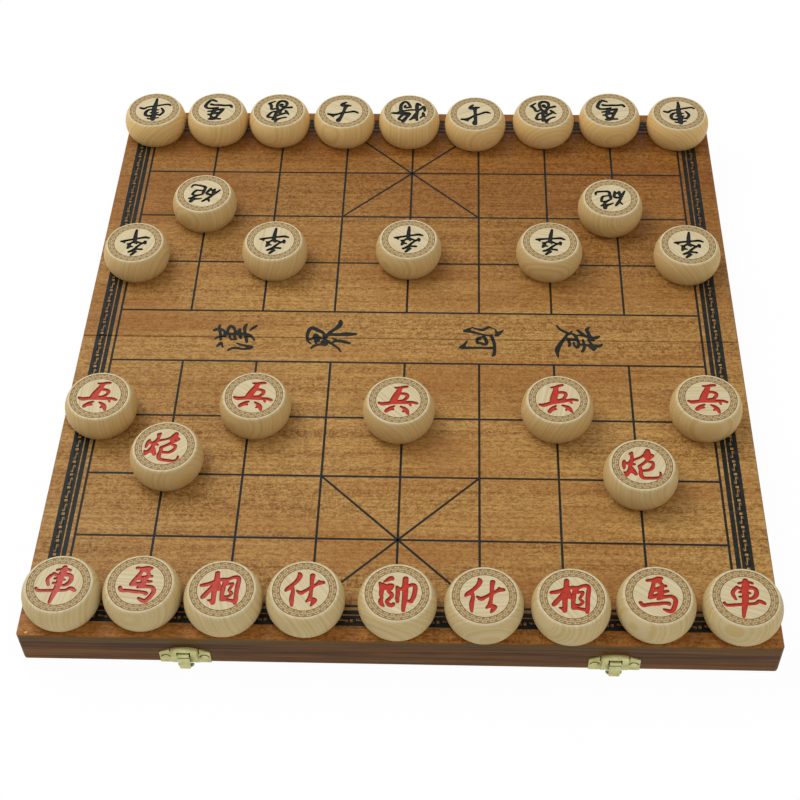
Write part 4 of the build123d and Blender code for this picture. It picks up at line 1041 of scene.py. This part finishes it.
def pale_wood(name, paint):
    g = Graph(name)
    log = g.attribute("grain", "Vector")
    flat = g.stretch(log, (1, 1, 0))
    wander = g.streaks(log, (40, 40, 12), 2, 0.4)
    away = g.add("ShaderNodeVectorMath", {0: flat}, 1, operation="LENGTH")
    away = g.linear(wander, 0.006, away)
    rings, wide = g.rings(away, RINGS_FINE, 3.0), g.rings(away, RINGS_WIDE, 2.0)
    pores = g.streaks(log, (1500, 1500, 60), 2, 0.6)
    streaks = g.streaks(log, (900, 900, 25), 3, 0.6)
    rays = g.streaks(log, (130, 2600, 60), 2, 0.6)
    tone = g.layered(g.times(g.noise(log, 90, 3), 0.12), (
        (rings, 0.46, 0.64, 0.34), (wide, 0.42, 0.62, 0.12),
        (rays, 0.4, 0.65, 0.10), (streaks, 0.4, 0.65, 0.16),
    ))
    colour = g.mix(tone, PALE, PALE_RING)
    colour = g.mix(g.times(g.ramp(pores, 0.58, 0.75), 0.35), colour, PALE_SIDE)
    side = g.attribute("side")
    shade = g.times(side, g.linear(g.ramp(rings, 0.42, 0.64), 0.30, 0.49))
    colour = g.mix(shade, colour, PALE_SIDE)
    y = g.split(g.place)[1]
    # painted light and shade on the sides, by row
    for run, side_light in SIDE_LIGHT_BY_ROW:
        colour = g.mix(g.times(side, g.ramp(y, *run)), colour, side_light, "MULTIPLY")
    burn = g.attribute("burn")
    soot = g.noise(log, 700, 3)
    colour = g.mix(g.times(g.ramp(burn, 0.05, 0.45), 0.85), colour, TAN)
    dark = g.times(g.ramp(burn, 0.6, 0.95), g.linear(soot, 0.6, 0.5))
    colour = g.mix(dark, colour, SCORCH)
    depth = g.attribute("paint")
    ragged = g.linear(g.noise(log, 1400, 2), 0.10, depth)
    painted = g.ramp(ragged, 0.02, -0.03)
    thin = g.noise(log, 420, 4)
    coat = g.mix(g.ramp(thin, 0.35, 0.7), paint, scaled(paint, 0.8))
    # painted shade: the paint is darker near the carved walls, where they shade the floor
    wall_shade_in_paint = g.times(g.ramp(depth, -0.42, -0.1), 0.75)
    coat = g.mix(wall_shade_in_paint, coat, scaled(paint, 0.4))
    colour = g.mix(painted, colour, coat)
    relief = g.bump(pores, 0.00004, 0.5, g.bump(streaks, 0.00005, 0.4))
    normal = g.bump(g.times(thin, painted), 0.00012, 0.5, relief)
    bare = g.linear(pores, 0.22, 0.40)
    gloss = g.linear(thin, 0.12, 0.16)
    rough = g.linear(painted, g.math("SUBTRACT", gloss, bare), bare)
    return g.finish(Base_Color=colour, Roughness=rough, Normal=normal, Specular_IOR_Level=0.15)


PAINTED = {"red": pale_wood("pale_wood_red", RED_PAINT),
           "black": pale_wood("pale_wood_black", BLACK_PAINT)}
print("pale wood ready")

# %% [markdown]
# ## One turned piece as a polar grid
# A piece is a disc with a swelling side. A polar grid suits it: circles from the middle of the
# face, over the rounded rim, down the side and back under to the middle. On the face, the grid
# points near the outline of a stroke are drawn onto two lines, its upper and lower edge, and the
# floor between is let down, so the carving has crisp, steep walls.

# %% The profile and the carved face
low_corner, high_corner = (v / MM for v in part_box("red_general"))
WAIST = (high_corner.x - low_corner.x) / 2
TALL = high_corner.z - low_corner.z
FACE, RIM_ROUND = 17.8, 1.0
AROUND = 240
CARVED, FINE_STEP = 12.55, 0.27  # reach of the characters, and the grid's step there
CARVE_DEPTH, RING_DEPTH = 0.8, 0.14
BOLDER = {"red": 0.24, "black": 0.20}  # mm that the cutter went outside the drawn strokes
RING_IN, RING_OUT = 12.8, 16.8
OUTLINE_WIDTH = 0.24  # of the burnt lines along both sides of the ring
RING_SLOPE, RING_SHOULDER = 0.06, 0.14  # mm from the ring's edges to the foot and top of its banks
BANK_BURN, EDGE_BURN, LINE_BURN, FLOOR_BURN = 0.2, 0.98, 0.92, 0.73
EDGE_BAND, FOOT_BAND = 0.15, 0.45  # mm: points this near an outline, or this far in, are drawn in
FOOT_MIDDLE, FOOT_LINE = 0.3, 0.22  # mm in: the middle of the second band, and where it is drawn to
SQUEEZE = 0.2  # share of their distance that the drawn points keep
WALL_TOP, WALL_FOOT = 0.03, 0.2  # mm in: the carved wall runs down between these
BARE = 9.0  # mm: the distance from paint that is written where there is none


def profile():
    """(radius, height, burn, side) of each circle, from the face's middle to the foot's middle.
    The side is an arc through the edges of the flats and the waist, and the rim a small circle
    that touches both the flat and that arc from inside."""
    sag = WAIST - FACE
    arc = ((TALL / 2) ** 2 + sag**2) / (2 * sag)
    middle = WAIST - arc
    rise = TALL / 2 - RIM_ROUND
    reach = math.sqrt((arc - RIM_ROUND) ** 2 - rise**2)
    rim_x = middle + reach
    lean = math.atan2(rise, reach)
    rows = [(r, TALL, 0.0, 0.0) for r in np.arange(FINE_STEP, CARVED, FINE_STEP)]
    floor = TALL - RING_DEPTH
    for r, z, burn in (
        (RING_IN - RING_SHOULDER, TALL, 0.0), (RING_IN, TALL, BANK_BURN),
        (RING_IN + RING_SLOPE, floor, EDGE_BURN), (RING_IN + OUTLINE_WIDTH, floor, LINE_BURN),
        (13.16, floor, FLOOR_BURN), (14.8, floor, FLOOR_BURN), (16.42, floor, FLOOR_BURN),
        (RING_OUT - OUTLINE_WIDTH, floor, LINE_BURN), (RING_OUT - RING_SLOPE, floor, EDGE_BURN),
        (RING_OUT, TALL, BANK_BURN), (RING_OUT + RING_SHOULDER, TALL, 0.0), (rim_x, TALL, 0.0),
    ):
        rows.append((r, z, burn, 0.0))
    for t in np.linspace(math.pi / 2, lean, 7)[1:]:
        height = TALL / 2 + rise + RIM_ROUND * math.sin(t)
        rows.append((rim_x + RIM_ROUND * math.cos(t), height, 0.0, 1 - math.sin(t)))
    for t in np.linspace(lean, -lean, 17)[1:-1]:
        rows.append((middle + arc * math.cos(t), TALL / 2 + arc * math.sin(t), 0.0, 1.0))
    for t in np.linspace(-lean, -math.pi / 2, 7):
        height = TALL / 2 - rise + RIM_ROUND * math.sin(t)
        rows.append((rim_x + RIM_ROUND * math.cos(t), height, 0.0, 1.0))
    for r in (12.0, 6.0, 1.0):
        rows.append((r, 0.0, 0.0, 0.3))
    return np.array(rows)


def turned_piece(glyph, bolder):
    """Vertices, faces and the burn, side and paint values of a piece standing at the origin."""
    rows = profile()
    angle = np.arange(AROUND) * 2 * math.pi / AROUND
    radius = np.repeat(rows[:, 0, None], AROUND, 1)
    x, y = radius * np.cos(angle), radius * np.sin(angle)
    z = np.repeat(rows[:, 1, None], AROUND, 1)
    fine = int((CARVED - FINE_STEP) / FINE_STEP) + 1
    paint = np.full(x.shape, BARE)
    s = ink_distance(np.column_stack([x[:fine].ravel(), y[:fine].ravel()]), glyph)
    s = s.reshape(fine, AROUND) - bolder
    out = np.gradient(s, FINE_STEP, axis=0)
    turn = (np.roll(s, -1, 1) - np.roll(s, 1, 1)) / (2 * radius[:fine] * angle[1])
    steep = np.maximum(np.sqrt(out**2 + turn**2), 0.5)
    foot = (s > -FOOT_BAND) & (s <= -EDGE_BAND)
    wanted = np.where(foot, SQUEEZE * (s + FOOT_MIDDLE) - FOOT_LINE, s)
    wanted = np.where(np.abs(s) < EDGE_BAND, SQUEEZE * s, wanted)
    move = (wanted - s) / steep
    gx = (out * np.cos(angle) - turn * np.sin(angle)) / steep
    gy = (out * np.sin(angle) + turn * np.cos(angle)) / steep
    x[:fine] += move * gx
    y[:fine] += move * gy
    z[:fine] -= CARVE_DEPTH * step(-wanted, WALL_TOP, WALL_FOOT)
    paint[:fine] = wanted
    count = len(rows)
    ends = np.array([[0, 0, z[0].mean()], [0, 0, 0.0]])
    verts = np.vstack([np.dstack([x, y, z]).reshape(-1, 3), ends])
    index = np.arange(count * AROUND).reshape(count, AROUND)
    after = np.roll(index, -1, 1)
    quads = np.dstack([index[:-1], index[1:], after[1:], after[:-1]]).reshape(-1, 4)
    first, last = len(verts) - 2, len(verts) - 1
    top = np.column_stack([np.full(AROUND, first), index[0], after[0]])
    foot_fan = np.column_stack([index[-1], np.full(AROUND, last), after[-1]])
    faces = quads.tolist() + top.tolist() + foot_fan.tolist()
    burn = np.append(np.repeat(rows[:, 2], AROUND), [0, 0])
    side = np.append(np.repeat(rows[:, 3], AROUND), [0, 0.3])
    paint = np.append(paint.ravel(), [paint[0].mean(), BARE])
    return verts, faces, burn, side, paint


print(f"{len(profile())} circles of {AROUND} points")

# %% [markdown]
# ## The fret round each face
# Round the character runs a shallow scorched channel, and in it stands a fret of pale ridges: a
# square S with curled ends, again and again. The ridges are part of the wood, so each is a small
# curved block in the same mesh, with its top level with the face.

# %% Ridges in the channel
RIDGE_UNITS = 24
RIDGE_ARC = 360 / RIDGE_UNITS  # degrees
RIDGE_MIDDLE = 14.8  # radius at which lengths along the ring are measured
RIDGE_BOTTOM = 13.38
RIDGES = (  # (along from, to, out from, to) in mm, for one unit 3.87 mm long
    (0.08, 0.62, 1.12, 2.95),
    (0.62, 2.35, 2.40, 2.95),
    (1.80, 2.35, 1.90, 2.40),
    (0.62, 3.18, 1.12, 1.68),
    (3.18, 3.72, -0.1, 1.68),
    (1.45, 3.18, -0.1, 0.45),
    (1.45, 2.00, 0.45, 0.88),
)
RIDGE_STEPS = 3
RIDGE_SUNK, RIDGE_DOWN = 0.05, 0.01  # mm: feet below the channel's floor, tops below the face
FOOT_BURN, TOP_BURN = 0.5, 0.24


def ridges():
    """All ridges of one ring at once, as vertices, faces and the burn of each vertex."""
    unit = np.arange(RIDGE_UNITS) * 2 * math.pi / RIDGE_UNITS
    parts = np.array(RIDGES)
    along = np.linspace(parts[:, 0], parts[:, 1], RIDGE_STEPS + 1).T / RIDGE_MIDDLE
    angle = unit[:, None, None] + along[None]
    inner = RIDGE_BOTTOM + np.broadcast_to(parts[None, :, 2, None], angle.shape)
    outer = RIDGE_BOTTOM + np.broadcast_to(parts[None, :, 3, None], angle.shape)
    corners = []
    for r in (inner, outer):
        for z in (TALL - RING_DEPTH - RIDGE_SUNK, TALL - RIDGE_DOWN):
            corners.append(np.stack([r * np.cos(angle), r * np.sin(angle), angle * 0 + z], -1))
    block = np.stack(corners, axis=2).reshape(-1, 4 * (RIDGE_STEPS + 1), 3)
    n = RIDGE_STEPS + 1
    inner_low, inner_high, outer_low, outer_high = (k * n for k in range(4))
    sides = []
    for k in range(RIDGE_STEPS):
        for a, b in ((inner_high, outer_high), (outer_high, outer_low),
                     (outer_low, inner_low), (inner_low, inner_high)):
            sides.append([a + k, b + k, b + k + 1, a + k + 1])
    sides.append([inner_low, outer_low, outer_high, inner_high])
    sides.append([v + RIDGE_STEPS for v in (inner_low, inner_high, outer_high, outer_low)])
    faces = np.array(sides)[None] + np.arange(len(block))[:, None, None] * 4 * n
    burn = np.zeros((len(block), 4, n))
    burn[:, 0::2] = FOOT_BURN
    burn[:, 1::2] = TOP_BURN
    return block.reshape(-1, 3), faces.reshape(-1, 4), burn.ravel()


ridge_verts, ridge_faces, ridge_burn = ridges()
print(f"{len(ridge_faces)} faces of ridges on each piece")

# %% [markdown]
# ## Set the pieces out
# The frame says where each piece stands; what it doesn't say is how each was turned when it was
# set down. The turns were read off the photograph, in degrees, anticlockwise. The black side's
# characters face the other player, so theirs get half a turn more.

# %% Build and place the 32 pieces
SAME = {"horse_black": "horse_red", "chariot_black": "chariot_red"}  # written alike on both sides
ROLL_LOW, ROLL_HIGH = 76, 104  # degrees: how a piece is rolled in the log, so its rings stand up
FROM_HEART, ALONG_LOG = (35, 90), (-200, 200)  # mm: where in the log a piece was cut
TURNS = {
    "red_soldier_1": -3, "red_soldier_2": -5, "red_soldier_4": 10, "red_soldier_5": -1,
    "black_soldier_1": 3, "black_soldier_2": -2, "black_soldier_4": -7, "black_soldier_5": -4,
    "red_chariot_right": 3, "red_horse_right": 13, "red_elephant_right": -3,
    "red_advisor_right": -4, "red_cannon_left": -11,
    "black_chariot_left": 11, "black_chariot_right": 12, "black_horse_left": 3,
    "black_horse_right": 8, "black_elephant_right": 14, "black_advisor_right": 16,
    "black_cannon_left": -19,
}


def kind_of(node):
    """'soldier_red' for 'red_soldier_3': the drawing that a piece shows."""
    words = node.split("_")
    kind = f"{words[1]}_{words[0]}"
    return SAME.get(kind, kind)


def spin(verts, degrees):
    a = math.radians(degrees)
    turn = np.array([[math.cos(a), -math.sin(a), 0], [math.sin(a), math.cos(a), 0], [0, 0, 1]])
    return verts @ turn.T


def set_out(node, made):
    verts, faces, burn, side, paint = made
    colour = node.split("_")[0]
    low, high = (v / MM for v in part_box(node))
    turn = TURNS.get(node, 0) + (180 if colour == "black" else 0)
    offset = len(verts)
    every = np.vstack([verts, spin(ridge_verts, rng.uniform(0, RIDGE_ARC))])
    slant, roll = rng.uniform((0, ROLL_LOW), (360, ROLL_HIGH))
    lying = spin(every, slant)[:, ::-1]
    log = spin(lying, roll) + (rng.uniform(*FROM_HEART), 0, rng.uniform(*ALONG_LOG))
    stood = spin(every, turn) + ((low.x + high.x) / 2, (low.y + high.y) / 2, low.z)
    attributes = (
        ("grain", "FLOAT_VECTOR", log * MM),
        ("burn", "FLOAT", np.append(burn, ridge_burn)),
        ("side", "FLOAT", np.append(side, ridge_burn * 0)),
        ("paint", "FLOAT", np.append(paint, ridge_burn * 0 + BARE)),
    )
    piece = new_piece(f"{node}_turned", stood, faces + (ridge_faces + offset).tolist(),
                      PAINTED[colour], node, attributes, smooth=28)
    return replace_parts(piece, node)


shapes = {}
for node in sorted(NODES):
    colour = node.split("_")[0]
    if colour in PAINTED:
        kind = kind_of(node)
        if (kind, colour) not in shapes:
            shapes[kind, colour] = turned_piece(GLYPHS[kind], BOLDER[colour])
        set_out(node, shapes[kind, colour])
print(f"{len(shapes)} drawings on 32 pieces")

# %% [markdown]
# ## Light and ground
# The photo was taken in soft light that comes mostly from the upper left, on a plain ground that
# was bleached to white. A large area lamp gives the soft direction, a weaker one fills from the
# right, and the world is a pale grey. The ground still takes the object's shadow, and adds its own
# light only for rays from the camera or in a mirror image, so it reads as white.

# %% Lamps, world and ground
def lamp(name, place, size, power):
    """A square lamp, aimed at the middle of the board."""
    data = bpy.data.lights.new(name, "AREA")
    data.shape = "SQUARE"
    data.size = size
    data.energy = power
    obj = bpy.data.objects.new(name, data)
    obj.location = place
    obj.rotation_euler = (-Vector(place)).to_track_quat("-Z", "Y").to_euler()
    scene.collection.objects.link(obj)


lamp("key_light", (-1.1, 0.75, 1.7), size=1.3, power=26)
lamp("fill_light", (1.4, -0.9, 1.5), size=1.8, power=7)


def seen_rays(tree):
    """1 for rays from the camera, in a reflection or through glass, and 0 for the rest."""
    path = tree.nodes.new("ShaderNodeLightPath")
    total = path.outputs["Is Camera Ray"]
    for name in ("Is Glossy Ray", "Is Transmission Ray"):
        node = tree.nodes.new("ShaderNodeMath")
        node.operation = "MAXIMUM"
        tree.links.new(total, node.inputs[0])
        tree.links.new(path.outputs[name], node.inputs[1])
        total = node.outputs[0]
    return total


def two_faced(owner, output, share, *looks):
    """Gives a world or a material two looks, each a node kind and its values: the first for light
    that bounces, and the second, by its share, for rays that are seen."""
    owner.use_nodes = True
    tree = owner.node_tree
    tree.nodes.clear()
    part = tree.nodes.new("ShaderNodeMath")
    part.operation = "MULTIPLY"
    part.inputs[1].default_value = share
    tree.links.new(seen_rays(tree), part.inputs[0])
    either = tree.nodes.new("ShaderNodeMixShader")
    tree.links.new(part.outputs[0], either.inputs[0])
    for socket, (kind, values) in zip(either.inputs[1:], looks):
        node = tree.nodes.new(kind)
        for key, value in values.items():
            node.inputs[key].default_value = value
        tree.links.new(node.outputs[0], socket)
    surface = tree.nodes.new(output)
    tree.links.new(either.outputs[0], surface.inputs["Surface"])


SKY, SKY_STRENGTH = (0.95, 0.97, 1.0, 1), 0.62
WHITE, PAPER = (1, 1, 1, 1), (0.86, 0.86, 0.86, 1)
scene.world = bpy.data.worlds.new("studio")
two_faced(scene.world, "ShaderNodeOutputWorld", 1.0,
          ("ShaderNodeBackground", {"Color": SKY, "Strength": SKY_STRENGTH}),
          ("ShaderNodeBackground", {"Color": WHITE, "Strength": 1.0}))

GROUND = 3.0  # metres from the middle to each edge
GROUND_GAP = 0.00005  # metres between the ground and the object
GROUND_GLOW = 0.97  # share of plain white in what is seen of the ground; the rest shows shadows
ground_mesh = bpy.data.meshes.new("ground")
corners = ((-1, -1), (1, -1), (1, 1), (-1, 1))
ground_mesh.from_pydata([(x * GROUND, y * GROUND, 0) for x, y in corners], [], [(0, 1, 2, 3)])
ground = bpy.data.objects.new("ground", ground_mesh)
ground.location.z = cad_low.z - GROUND_GAP
scene.collection.objects.link(ground)
paper = bpy.data.materials.new("ground")
two_faced(paper, "ShaderNodeOutputMaterial", GROUND_GLOW,
          ("ShaderNodeBsdfDiffuse", {"Color": PAPER}), ("ShaderNodeEmission", {"Color": WHITE}))
ground_mesh.materials.append(paper)
print("studio ready")
